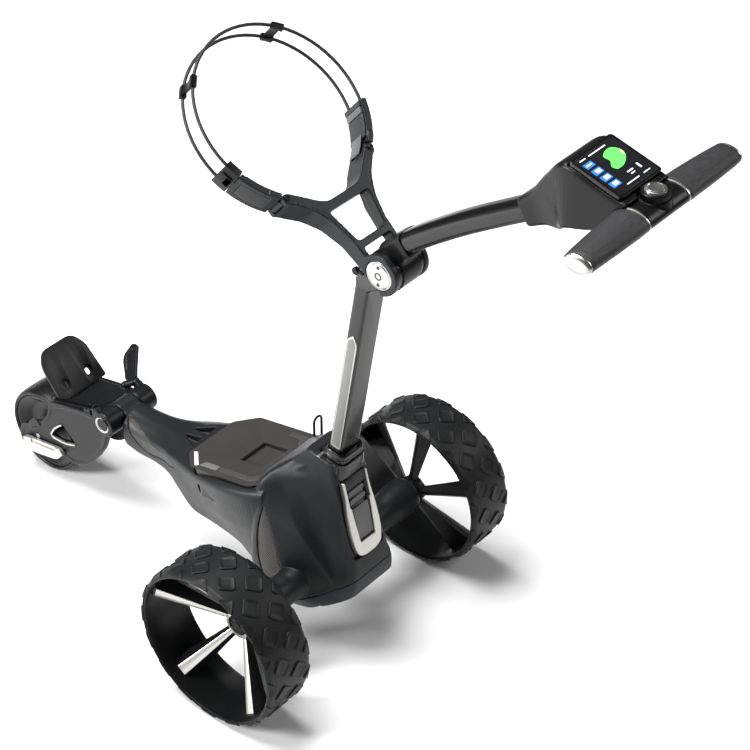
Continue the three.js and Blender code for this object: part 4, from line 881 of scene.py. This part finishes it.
def collar_solid():
    rings = [(29, -20, 23, 14, -8.4), (29, -20, 23, 14, -4), (28.6, -19.6, 22.8, 14, -2.6),
             (27.8, -18.8, 22.2, 13, -2), (27.4, -18.2, 21.8, 13, 4.6), (26.4, -17, 20.2, 12, 6.4)]
    return loft([ring_z(-x, x, y0, y1, z, r) for x, y0, y1, r, z in rings])


crisp("shaft_collar", "shaft", GLOSS, [moved(collar_solid(), SHAFT)],
      [moved(loft([ring_z(-23.4, 23.4, -13.4, 13.4, z, 5.5) for z in (-40, 60)]), SHAFT)], bevel=0.6,
      nodes=["shaft_collar"])
SEAT_RINGS = [(33, -8, 27, -40), (33, -20, 27, -30), (32.2, -21, 26.4, -16), (31.6, -20.6, 25.8, -10.4),
              (30.6, -19.6, 24.8, -9.4)]
seat_ring = loft([ring_z(-x, x, y0, y1, z, 19, 6) for x, y0, y1, z in SEAT_RINGS])
crisp("seat_band", "chassis", GLOSS, [moved(seat_ring, SHAFT)], [
    box(-26, 26, -17.5, 20.5, -15.4, 0, SHAFT), box(-21, 21, -40, -4, -40, 0, SHAFT),
    box(-40, 40, -60, -17, -60, 0, SHAFT)], bevel=0.5)
for side, sign in SIDES:
    plate = rounded([(10, 16, 3), (10, 238, 9), (1, 252, 4), (-9, 240, 3), (-9, 16, 3)], 3)
    inner = rounded([(8, 19, 2), (8, 236, 7), (0.8, 247, 3), (-7, 238, 2), (-7, 19, 2)], 2)
    crisp(f"{side}_inlay", "shaft", SILVER, [side_prism(plate, *on_side(sign, 22.6, 24.4), SHAFT)], bevel=0.5,
          nodes=[f"{side}_shaft_inlay"])
    crisp(f"{side}_inlay_face", "shaft", INLAY, [side_prism(inner, *on_side(sign, 24.2, 24.9), SHAFT)], bevel=0.3)

# ------------------------------------------------------------------ hinge and bag bracket

for side, sign in SIDES:
    holes = [disc(2.8, *on_side(sign, 34, 45), (0, HINGE[1], HINGE[2] + dz)) for dz in (-14.5, 14.5)]
    cap = lathe([(0, 30.4), (23.4, 30.4), (23.4, 36.2), (22.6, 37.2), (20.6, 37.4), (19.8, 38), (17, 38.5), (0, 38.8)],
                centre=HINGE, steps=72)
    crisp(f"{side}_hinge_cap", "shaft", CAP_SILVER, [cap if sign > 0 else mirror_x(cap)], holes, bevel=0.3,
          nodes=[f"{side}_hinge_cap"])
    mark = [disc(6.2, *on_side(sign, 38.2, 39.2), HINGE, ease=0.3)]
    crisp(f"{side}_hinge_mark", "shaft", SATIN, mark, [disc(4.4, *on_side(sign, 38, 40), HINGE)], bevel=0.2)

HUB_B = BRACKET.inverted() @ Vector(HINGE)
BRACKET_OUTLINE = [(37, 18), (38.5, 67), (48, 103), (64, 131), (88, 153.5), (97, 158),
                   (97, 172), (86, 172), (78, 165.5), (60, 151), (46, 138.5), (31, 131)]


def arm_pin(sign):
    return (sign * 90.8, 165.8, 0)


def bracket_cuts():
    cuts = [prism(rounded(mirrored([(42, 116.5), (29, 59)]), 6), 0, 90),
            prism(rounded(mirrored([(28, 47.7), (28.5, 18)]), 4), 0, 90),
            side_prism([(-20, 36), (60, 42), (110, 49), (150, 59.5), (-20, 120)], -120, 120),
            disc(36.5, -28.45, 28.45, (0, HUB_B.y, HUB_B.z))]
    shallow = rounded(mirrored([(33, 38), (33.5, 60), (42, 98), (57, 126)]), 4)
    cuts.append(prism(shallow, 33, 100))
    for sign in (1, -1):
        cuts.append(box(*on_side(sign, 78, 120), 158.4, 200, 22, 50))
        cuts.append(disc(23.9, *on_side(sign, 30, 60), (0, HUB_B.y, HUB_B.z)))
        line = [(sign * x, y) for x, y in ((35.2, 64), (43.4, 104), (60, 132), (83, 154))]
        left = [Vector(p) for p in smooth_path([Vector(p) for p in line], 5)]
        right = [p + Vector((sign * 1.6, -1.2)) for p in left]
        cuts.append(prism(left + right[::-1] if sign > 0 else right + left[::-1], 11, 14.3))
    return cuts


def bracket_adds():
    adds = [prism(rounded(mirrored(BRACKET_OUTLINE), 7), 13, 59)]
    for sign in (1, -1):
        x0, x1 = on_side(sign, 28.45, 37.6)
        adds.append(disc(33, x0, x1, (0, HUB_B.y, HUB_B.z)))
        adds.append(side_prism(rounded([(HUB_B.y, HUB_B.z - 26), (34, 13.5), (34, 38), (HUB_B.y, HUB_B.z + 26)], 3),
                               x0, x1))
    return adds


moulded("bag_bracket", "shaft", FRAME_GREY, in_bracket(bracket_adds()), in_bracket(bracket_cuts()), voxel=1.15,
        smooth=3, nodes=["bag_bracket"])
crisp("bracket_pins", "shaft", STEEL, in_bracket([disc(3.4, 15, 57, arm_pin(sign), "Z", ease=0.5, steps=24)
                                                  for sign in (1, -1)]), bevel=0)
crisp("hinge_knob", "knob", SATIN, [disc(6.2, 29, 37, (0, 89, 762), ease=1.2, steps=40),
                                    disc(2.6, 89, 103, (33, 0, 762), "Y", steps=24)], bevel=0.4, nodes=["hinge_knob"])

# ------------------------------------------------------------------ bag hoop


def arm(sign, end):
    start, stop = (-46.6, end) if sign > 0 else (end, 226.6)
    pin = arm_pin(sign)
    adds = [prism(sector(138, 148, start, stop), 13, 59)]
    heel = (-52, -45) if sign > 0 else (225, 232)
    tongue = [prism(sector(138.6, 147.4, *heel), 22.4, 49.6), disc(6.6, 22.4, 49.6, pin, "Z")]
    cuts = [disc(8.2, 0, 22.4, pin, "Z"), disc(8.2, 49.6, 90, pin, "Z")]
    cheek = (-51, -40) if sign > 0 else (220, 231)
    adds.append(prism(sector(138.4, 147.6, *cheek), 10.9, 12.85))
    adds.append(prism(sector(138.4, 147.6, *((-46.4, -40) if sign > 0 else (220, 226.4))), 10.9, 14))
    adds.append(disc(8.2, 10.9, 12.85, pin, "Z", steps=48))
    lip = 2.2  # raised edges of the cradle
    inner = (start + 3, stop - 3)
    adds.append(prism(sector(136.6, 139, *inner), 13, 13 + lip))
    adds.append(prism(sector(136.6, 139, *inner), 59 - lip, 59))
    cuts.append(prism(sector(146.8, 152, start + 4, stop - 3), 20, 52))
    bores = [disc(3.7, 0, 90, pin, "Z")]
    if sign < 0:
        bores += band_bores(end - 3, BAND_SPAN[1] + 0.4)
    return adds, tongue, cuts + bores


for side, sign, end in (("left", 1, -20.9), ("right", -1, 198)):
    adds, tongue, cuts = arm(sign, end)
    moulded(f"{side}_arm", f"{side}_arm", FRAME_GREY, in_bracket(adds + tongue), in_bracket(cuts), voxel=0.95,
            smooth=3, nodes=[f"{side}_cradle_arm"])
    span = (-42.2, end - 3.4) if sign > 0 else (end + 4.4, 222.4)
    crisp(f"{side}_arm_back", f"{side}_arm", BAND, in_bracket([prism(sector(146.2, 147.9, *span), 20.4, 51.6)]),
          bevel=0.5)
    crisp(f"{side}_arm_screw", f"{side}_arm", SATIN,
          in_bracket([disc(4.8, 9.9, 11.4, arm_pin(sign), "Z", ease=0.6, steps=40)]),
          in_bracket([disc(2.3, 9, 10.9, arm_pin(sign), "Z", steps=6)]), bevel=0.2)

crisp("arm_pad", "right_arm", PAD, in_bracket([prism(sector(133.4, 137.6, 207.5, 224), 15, 57)]), bevel=1.2,
      nodes=["arm_pad"])
crisp("arm_pad_strap", "right_arm", PAD_LIGHT, in_bracket([prism(sector(132.8, 137.4, 202.8, 207.2), 16, 56)]),
      bevel=0.8)
crisp("arm_pad_end", "right_arm", BAND, in_bracket([prism(sector(133.2, 137.6, 199.2, 202.5), 15, 57)]), bevel=1.0)
crisp("arm_pad_tail", "right_arm", PAD_LIGHT, in_bracket([prism(sector(131.6, 133.0, 222, 236), 22, 50)]), bevel=0.5)
crisp("strap_clamp", "right_arm", SATIN, in_bracket([
    prism(sector(135.5, 147.5, -20.4, -10.6), 12, 60), prism(sector(147, 150, -19.2, -12.2), 26, 46)]), in_bracket([
        prism(sector(137.6, 160, -19.3, -15.8), 27, 45), prism(sector(134, 137, -17.5, -12.5), 24, 48)]
        + band_bores(BAND_SPAN[0] - 0.4, -7)), bevel=0.8, nodes=["strap_clamp"])
crisp("clamp_strap", "right_arm", BAND, in_bracket([prism(sector(133.6, 135.3, -21, -11.5), 26, 46)]), bevel=0.4)
for side, middle in (("left", 45), ("right", 128)):
    lo, hi = middle - 3.9, middle + 3.9
    sleeves = [prism(sector(136.6, 145.4, lo, hi), depth - 4.4, depth + 4.4) for depth in BAND_DEPTHS.values()]
    bridge = prism(sector(138.9, 143.1, middle - 2.6, middle + 2.6), 19, 52.5)
    crisp(f"{side}_clip", "right_arm", SATIN, in_bracket(sleeves + [bridge]), in_bracket(band_bores(lo - 1, hi + 1)),
          bevel=0.9, nodes=[f"{side}_band_clip"])

# ------------------------------------------------------------------ upper shaft

UPPER_PATH = [(152, 819, 41), (190.5, 851, 38.5), (262, 903, 34.5), (334, 950, 32), (376, 976, 32)]


def path_ring(y, z, slope, half_width, half_height, radius, steps=5):
    s, c = math.sin(slope * DEG), math.cos(slope * DEG)
    return [Vector((p.x, y - p.y * s, z + p.y * c))
            for p in rounded(rectangle(-half_width, half_width, -half_height, half_height), radius, steps)]


crisp("upper_tube", "handle", GLOSS, [smooth_loft([path_ring(*s, 20, 17, 15, 9) for s in UPPER_PATH], 6)], bevel=0,
      nodes=["upper_shaft"], angle=50)
moulded("upper_casting", "handle", SATIN, [
    smooth_loft([path_ring(136, 783, 72, 19.7, 26, 8), path_ring(140, 800, 58, 19.7, 24, 8),
                 path_ring(149, 812, 48, 19.9, 21.5, 8), path_ring(158, 823, 41, 21.6, 19.4, 9),
                 path_ring(166, 829.5, 40.5, 21.4, 18.8, 9)], 4),
    disc(33, -19.7, 19.7, HINGE, steps=96)], [disc(8.5, -60, 60, HINGE)], voxel=1.0, smooth=2)

# ------------------------------------------------------------------ handle bar

CORE_HALF, GRIP_END, BAR_Y, BAR_Z = 42.8, 171.5, 555, 1051


def bar_ring(x, extra=0.0, steps=48):
    out = max((abs(x) - CORE_HALF) / (GRIP_END - CORE_HALF), 0)
    a, b, y = 27 - 6 * out + extra, 15 - 2 * out + extra, BAR_Y + 4 * out
    return [Vector((x, y + a * c.x, BAR_Z + b * c.y)) for c in circle(1, steps)]


def bar_piece(stations):
    return loft([bar_ring(x, extra) for x, extra in stations])


DIAL_Y, DIAL_SEAT = 557, 1066.6
moulded("handle_core", "handle", SATIN, [bar_piece([(-42.6, -0.4), (-41.8, 0), (41.8, 0), (42.6, -0.4)]),
                                         lathe([(0, 1054), (24, 1054), (22.4, 1062), (21.6, 1066.4), (0, 1066.4)],
                                               "Z", (0, DIAL_Y, 0), steps=64)], voxel=1.0, smooth=2,
        nodes=["handle_core"])
for side, sign in SIDES:
    body = "handle"
    crisp(f"{side}_grip_ring", body, SILVER, [bar_piece([(sign * 43.2, 0.2), (sign * 43.7, 0.8), (sign * 45.4, 0.8),
                                                         (sign * 45.9, 0.2)])], bevel=0, nodes=[f"{side}_grip_ring"])
    swell = [(46.4, -0.8), (47.2, 0.1), (49, 0.5)]
    swell += [(49 + 114 * i / 12, 0.5 + 0.9 * math.sin(math.pi * i / 12)) for i in range(1, 12)]
    swell += [(163, 0.5), (164, 0.1), (164.8, -0.7)]
    crisp(f"{side}_grip", body, LEATHER, [bar_piece([(sign * x, e) for x, e in swell])], bevel=0,
          nodes=[f"{side}_grip"])
    crisp(f"{side}_grip_cap", body, CAP_SILVER, [bar_piece([
        (sign * 165.2, 0.1), (sign * 166.2, 0.4), (sign * 168.4, 0.2), (sign * 169.8, -0.8), (sign * 170.8, -2.4),
        (sign * 171.3, -4.6), (sign * 171.5, -8)])], bevel=0, nodes=[f"{side}_grip_cap"])
    stitches = []
    for i in range(27):
        x = 51 + 4.2 * i
        out = (x - CORE_HALF) / (GRIP_END - CORE_HALF)
        for turn in (-38, 218):
            a, b = 27 - 6 * out + 1.1, 15 - 2 * out + 1.1
            c, s = math.cos(turn * DEG), math.sin(turn * DEG)
            centre = (sign * x, BAR_Y + 4 * out + a * c, BAR_Z + b * s)
            stitches.append(lathe([(0, -1.4), (0.5, -1.1), (0.62, 0), (0.5, 1.1), (0, 1.4)], "X", centre, steps=8))
    obj = mesh_object(f"{side}_grip_stitches", together(*stitches))
    shade(obj, 60)
    finish_piece(obj, body, STITCH)


def toothed(radius, depth, teeth):
    points = []
    for i in range(teeth * 4):
        r = radius - (depth if i % 4 in (0, 3) else 0)
        a = 2 * math.pi * (i + 0.5) / (teeth * 4)
        points.append(Vector((r * math.cos(a), r * math.sin(a))))
    return points


crisp("dial_ring", "dial", SATIN, [prism(toothed(20, 0.7, 44), DIAL_SEAT + 0.4, DIAL_SEAT + 7.6,
                                         Matrix.Translation((0, DIAL_Y, 0))),
                                   lathe([(15.4, 1067), (19.3, 1067), (19.3, 1074.4), (18.6, 1075.5), (15.4, 1075.6)],
                                         "Z", (0, DIAL_Y, 0), steps=96)],
      [disc(15.3, 1060, 1090, (0, DIAL_Y, 0), "Z")], bevel=0, nodes=["dial_ring"])
crisp("dial_cap", "dial_button", CAP_SILVER, [lathe([
    (0, 1069), (15, 1069), (15, 1077.4), (14.4, 1078.4), (12.6, 1078.8), (11.8, 1079.9), (10.8, 1080.1), (10, 1079.2),
    (4, 1078.6), (0, 1078.5)], "Z", (0, DIAL_Y, 0), steps=72)], bevel=0, nodes=["dial_cap"])

# ------------------------------------------------------------------ display head

HEAD = [(370, 972.5, 32, 24, 22, 10), (396, 993, 30, 27, 27, 10), (424, 1018, 20, 37, 40, 10),
        (450, 1044, 4, 49, 48.5, 9), (500, 1045, -8, 50, 35, 9), (541, 1052, -14, 50, 18.5, 9)]
moulded("display_housing", "handle", SATIN, [smooth_loft([path_ring(*s) for s in HEAD], 6)], [
    smooth_loft([path_ring(350, 960, 32, 20.3, 17.3, 9), path_ring(376.2, 976.2, 32, 20.3, 17.3, 9)], 1),
    box(-46.4, 46.4, -43.4, 43.4, -11.6, 30, SCREEN), bar_piece([(-70, 1.0), (70, 1.0)]),
    disc(23.6, 1050, 1100, (0, DIAL_Y, 0), "Z")], voxel=1.3, smooth=3, nodes=["display_housing"])


def in_screen(solids):
    return [moved(s, SCREEN) for s in solids]


def on_screen(solids):
    """Drawn as the golfer reads it: x to the right, y away from the bar."""
    return in_screen([moved(s, Matrix.Rotation(math.pi, 4, "Z")) for s in solids])


crisp("display_bezel", "handle", GLOSS, in_screen([prism(rounded(rectangle(-45.8, 45.8, -42.8, 42.8), 6), -11, 0.2)]),
      in_screen([prism(rounded(rectangle(-41.6, 41.6, -37.4, 38.4), 3), -0.9, 4)]), bevel=0.8,
      nodes=["display_screen"])
GLASS_OUTLINE = rounded(rectangle(-41.4, 41.4, -37.2, 38.2), 3)
crisp("display_glass", "handle", GLASS, in_screen([prism(GLASS_OUTLINE, -1.4, -0.4)]), bevel=0.2)


def screen_mark(name, outline, mat, z=0.0):
    return crisp(name, "handle", mat, on_screen([prism(outline, -0.6, -0.22 + z)]), bevel=0)


GREEN = glowing("screen_green", (0.10, 0.62, 0.10), 0.9)
BLUE = glowing("screen_blue", (0.03, 0.16, 0.55), 0.8)
WHITE = glowing("screen_white", (0.75, 0.78, 0.80), 0.8)
SAND = glowing("screen_sand", (0.70, 0.62, 0.30), 0.7)

screen_mark("screen_green", rounded([(19, -2), (30, 6), (31, 18), (22, 27), (8, 26), (-2, 20), (2, 10), (-8, 2),
                                     (-4, -6), (8, -6)], 9), GREEN)
screen_mark("screen_bunker", rounded([(27, 6), (31, 11), (30, 17), (26, 12)], 2), SAND, 0.12)
for i, (x, y, w, h) in enumerate(((-29, 22, 17, 9), (-29, 8, 17, 10), (-29, -6, 17, 10), (-29, -20, 17, 10))):
    screen_mark(f"screen_box_{i}", rounded(rectangle(x - w / 2, x + w / 2, y - h / 2, y + h / 2), 1.2), BLUE)
bars = [(-29, 22, 11, 2.2)] + [(x, y, 2.2, 6) for y in (8, -6, -20) for x in (-31, -27.6, -24.2)]
bars += [(2, 33, 36, 1.6), (-29, 33, 12, 1.6), (8, -17, 12, 2), (8, -22, 8, 1.6), (26, -18, 3, 9),
         (26, -31, 14, 1.4), (-4, -31, 26, 1.4)]
marks = [prism(rounded(rectangle(x - w / 2, x + w / 2, y - h / 2, y + h / 2), 0.4, 2), -0.5, -0.05)
         for x, y, w, h in bars]
crisp("screen_marks", "handle", WHITE, on_screen([together(*marks)]), bevel=0)

# ------------------------------------------------------------------ front end

BARREL = (0, -469.1, 204.1)
LEVER_AT = (0, -684, 66)
FORK_SIDE = [(-613, 182), (-617, 151), (-633, 127), (-670, 104), (-693, 92), (-702, 67), (-697, 50), (-679, 44),
             (-630, 60), (-582, 72), (-558, 66), (-531, 78), (-497, 112), (-476, 144), (-462, 184),
             (-476, 208), (-520, 205), (-575, 193)]
FORK_WINDOW = [(-584, 146), (-613, 108), (-600, 101), (-549, 113)]
REST_OUTLINE = [(54, 3, 6), (50.5, 74, 16), (34, 98, 22)]
WHEEL_AT = (0, -650.6, 83.8)


def rod_y(radius, y0, y1, matrix):
    return disc(radius, y0, y1, (0, 0, 0), "Y", steps=40, matrix=matrix)


def fork():
    adds, cuts = [], []
    for sign in (1, -1):
        adds.append(side_prism(rounded(FORK_SIDE, 12, 4), *on_side(sign, 40.5, 51.5)))
        cuts.append(side_prism(rounded(FORK_WINDOW, 6, 4), *on_side(sign, 30, 70)))
        adds.append(disc(24, *on_side(sign, 21, 56), BARREL, ease=1.5))
        wing = wing_frame(sign)
        adds += [rod_y(6.8, -16, -9.4, wing), rod_y(6.8, 9.4, 16, wing), rod_y(2.8, -16, 16, wing)]
        adds.append(box(*on_side(sign, 34, 50), -521, -505, 196, 213))
        adds.append(box(*on_side(sign, 44, 56), -493, -480, 205, 229))
        rib = rounded([(-607, 170), (-611, 150), (-628, 121), (-664, 98), (-686, 86), (-694, 66), (-690, 56),
                       (-679, 51), (-630, 66), (-582, 78), (-559, 73), (-535, 84), (-503, 116), (-482, 147),
                       (-470, 184), (-480, 200), (-520, 198), (-572, 186)], 12, 4)
        cuts.append(side_prism(rib, *on_side(sign, 50.3, 60)))
        adds.append(side_prism(rounded([(-650, 128), (-668, 112), (-672, 96), (-650, 74), (-632, 86), (-634, 108)],
                                       8, 4), *on_side(sign, 50, 53.5)))
        adds.append(disc(11, *on_side(sign, 49, 53.2), WHEEL_AT, ease=0.8))
        cuts.append(disc(5.4, *on_side(sign, 30, 70), WHEEL_AT))
    deck = side_prism([(-488, 214), (-520, 208), (-606, 188), (-604, 178), (-520, 194), (-488, 196)], -41, 41)
    adds.append(deck)
    cuts.append(disc(26.5, -21, 21, BARREL))
    return adds, cuts


moulded("front_fork", "fork", FORK_BLACK, *fork(), voxel=1.15, smooth=2,
        nodes=["front_fork"])
crisp("lever_stub", "fork", STEEL, [disc(3, 48, 58, LEVER_AT, ease=0.4, steps=32)], bevel=0)
repaint("fork_pin", STEEL)
repaint("front_axle", STEEL)
BUTTON_AT = (0, BARREL[1] + 2.2, BARREL[2] + 2.6)
for side, sign in SIDES:
    crisp(f"{side}_barrel_end", "fork", CAP_SILVER, [disc(15.5, *on_side(sign, 55.6, 57.4), BARREL, ease=0.6)],
          [disc(12.2, *on_side(sign, 56.8, 60), BARREL)], bevel=0.2)
    crisp(f"{side}_barrel_button", "fork", SATIN, [disc(12.6, *on_side(sign, 56.2, 57.9), BUTTON_AT, ease=0.6)],
          bevel=0)


def rest_shell():
    radius = 520
    profile = [(radius - 5, -30), (radius, -30), (radius, 140), (radius - 5, 140)]
    return lathe(profile, "Y", (0, 0, radius + 0.4), steps=360)


rest_holes = [prism(rounded(rectangle(s * 27 - 4.2, s * 27 + 4.2, 20, 32), 4.1), -30, 40) for s in (1, -1)]
rest_dishes = [disc(10.5, 3.2, 40, (s * 27, 27, 0), "Z") for s in (1, -1)]
rest = mesh_object("bag_rest", moved(prism(rounded(mirrored(REST_OUTLINE), 8, 6), -2, 30), REST))
combine(rest, [moved(rest_shell(), REST)], "INTERSECT")
combine(rest, [moved(h, REST) for h in rest_holes + rest_dishes], "DIFFERENCE")
combine(rest, [moved(side_prism([(2, -3), (30, -3), (30, 0.8), (14, 2.2), (2, 2.2)], -10, 10), REST)], "UNION")
edge = rest.modifiers.new("bevel", "BEVEL")
edge.width = 0.0012
edge.segments = 3
edge.limit_method = "ANGLE"
settle(rest)
shade(rest, 40)
finish_piece(rest, "fork", FORK_BLACK, ["bag_rest"])

WING_BLADE = [(8, -12, 3), (24, -15, 8), (46, -21, 8), (60, -20, 5), (78, -4, 3), (74, 8, 6), (48, 9, 14),
              (24, 10, 8), (8, 12, 3)]
WING_ROOT = [(0, -9), (14, -9), (14, 9), (0, 9)]
WING_DISH = [(24, -10), (56, -15), (68, -3), (66, 3), (24, 4)]
for side, sign in SIDES:
    at = wing_frame(sign)
    blade = [prism(rounded(WING_BLADE, 5), -3.4, 3.4, at), prism(rounded(WING_ROOT, 1), -3.4, 3.4, at),
             rod_y(6.6, -9, 9, at)]
    scoop = [prism(rounded(WING_DISH, 5), 2.2, 8, at), prism(rounded(WING_DISH, 5), -8, -2.2, at),
             rod_y(3.2, -20, 20, at)]
    moulded(f"{side}_wing", f"{side}_wing", FORK_BLACK, blade, scoop, voxel=0.7, smooth=3, nodes=[f"{side}_wing"])

CAM_SIDE = [(-698, 55), (-679, 74), (-640, 80), (-589, 89), (-579, 81), (-597, 62), (-640, 52), (-684, 44), (-697, 40)]
crisp("cam_lever", "cam_lever", SILVER, [side_prism(rounded(CAM_SIDE, 7, 5), 51.9, 59.5)], [
    disc(3.4, 40, 70, LEVER_AT), side_prism([(-663, 90), (-600, 100), (-600, 79.5), (-663, 68.5)], 56.8, 70)],
    bevel=1.3, segments=4, nodes=["cam_lever"])
window_path = [(-583, 143), (-600, 128), (-612, 110), (-607, 103), (-596, 103), (-580, 104), (-566, 108), (-552, 113)]
wire = [Vector((50.6, y, z)) for y, z in smooth_path([Vector(p) for p in window_path], 5)]
crisp("window_trim", "fork", SILVER, [sweep(wire, [Vector((-3.4, -1.6)), Vector((2.0, -1.6)), Vector((2.0, 1.6)),
                                                   Vector((-3.4, 1.6))], (1, 0, 0))], bevel=0.6)

# ------------------------------------------------------------------ front wheel

TREAD = [(73, 33), (75, 35.2), (77.4, 36), (79.6, 35.2), (81.4, 32.6), (82.8, 26), (83.5, 17), (83.7, 8)]
FRONT_DISH = [(5.4, 35.6), (12.6, 35.6), (13.4, 34.8), (15.6, 22.6), (18, 20.4), (48, 17.6), (53, 19), (67, 32.2),
              (69, 33), (72.4, 33)]


def both_faces(profile):
    return profile + [(r, -x) for r, x in reversed(profile)]


crisp("front_tyre", "front_wheel", TYRE_SIDE, [lathe(both_faces(TREAD), centre=WHEEL_AT, steps=160)], bevel=0,
      nodes=["front_tyre"], angle=50)
crisp("front_rim", "front_wheel", RIM, [lathe(both_faces(FRONT_DISH), centre=WHEEL_AT, steps=128)], bevel=0.5,
      nodes=["front_rim"])


# ------------------------------------------------------------------ floor and light

def add_floor():
    bm = bmesh.new()
    bmesh.ops.create_grid(bm, x_segments=1, y_segments=1, size=14)
    mesh = bpy.data.meshes.new("floor")
    bm.to_mesh(mesh)
    bm.free()
    obj = bpy.data.objects.new("floor", mesh)
    obj.location.z = -0.0005
    bpy.context.scene.collection.objects.link(obj)
    mat = bpy.data.materials.new("floor")
    mat.use_nodes = True
    shader = mat.node_tree.nodes["Principled BSDF"]
    shader.inputs["Base Color"].default_value = (0.95, 0.95, 0.95, 1)
    shader.inputs["Roughness"].default_value = 0.9
    mesh.materials.append(mat)


def add_light(name, location, target, size, power):
    data = bpy.data.lights.new(name, "AREA")
    data.shape = "RECTANGLE"
    data.size, data.size_y = size
    data.energy = power
    obj = bpy.data.objects.new(name, data)
    direction = Vector(target) - Vector(location)
    obj.matrix_world = (Matrix.Translation(location) @ direction.to_track_quat("-Z", "Y").to_matrix().to_4x4())
    bpy.context.scene.collection.objects.link(obj)


add_floor()
world = bpy.data.worlds.new("studio")
world.use_nodes = True
world.node_tree.nodes["Background"].inputs["Color"].default_value = (1, 1, 1, 1)
world.node_tree.nodes["Background"].inputs["Strength"].default_value = 0.09
bpy.context.scene.world = world
bpy.context.scene.view_settings.view_transform = "Standard"
add_light("top", (0.4, -1.2, 4.2), (0, 0, 0.3), (3.2, 2.4), 300)
add_light("left", (3.4, -2.2, 2.0), (0, -0.1, 0.35), (0.8, 1.4), 210)
add_light("back", (-2.8, 2.2, 2.6), (0, 0, 0.6), (1.0, 1.6), 45)
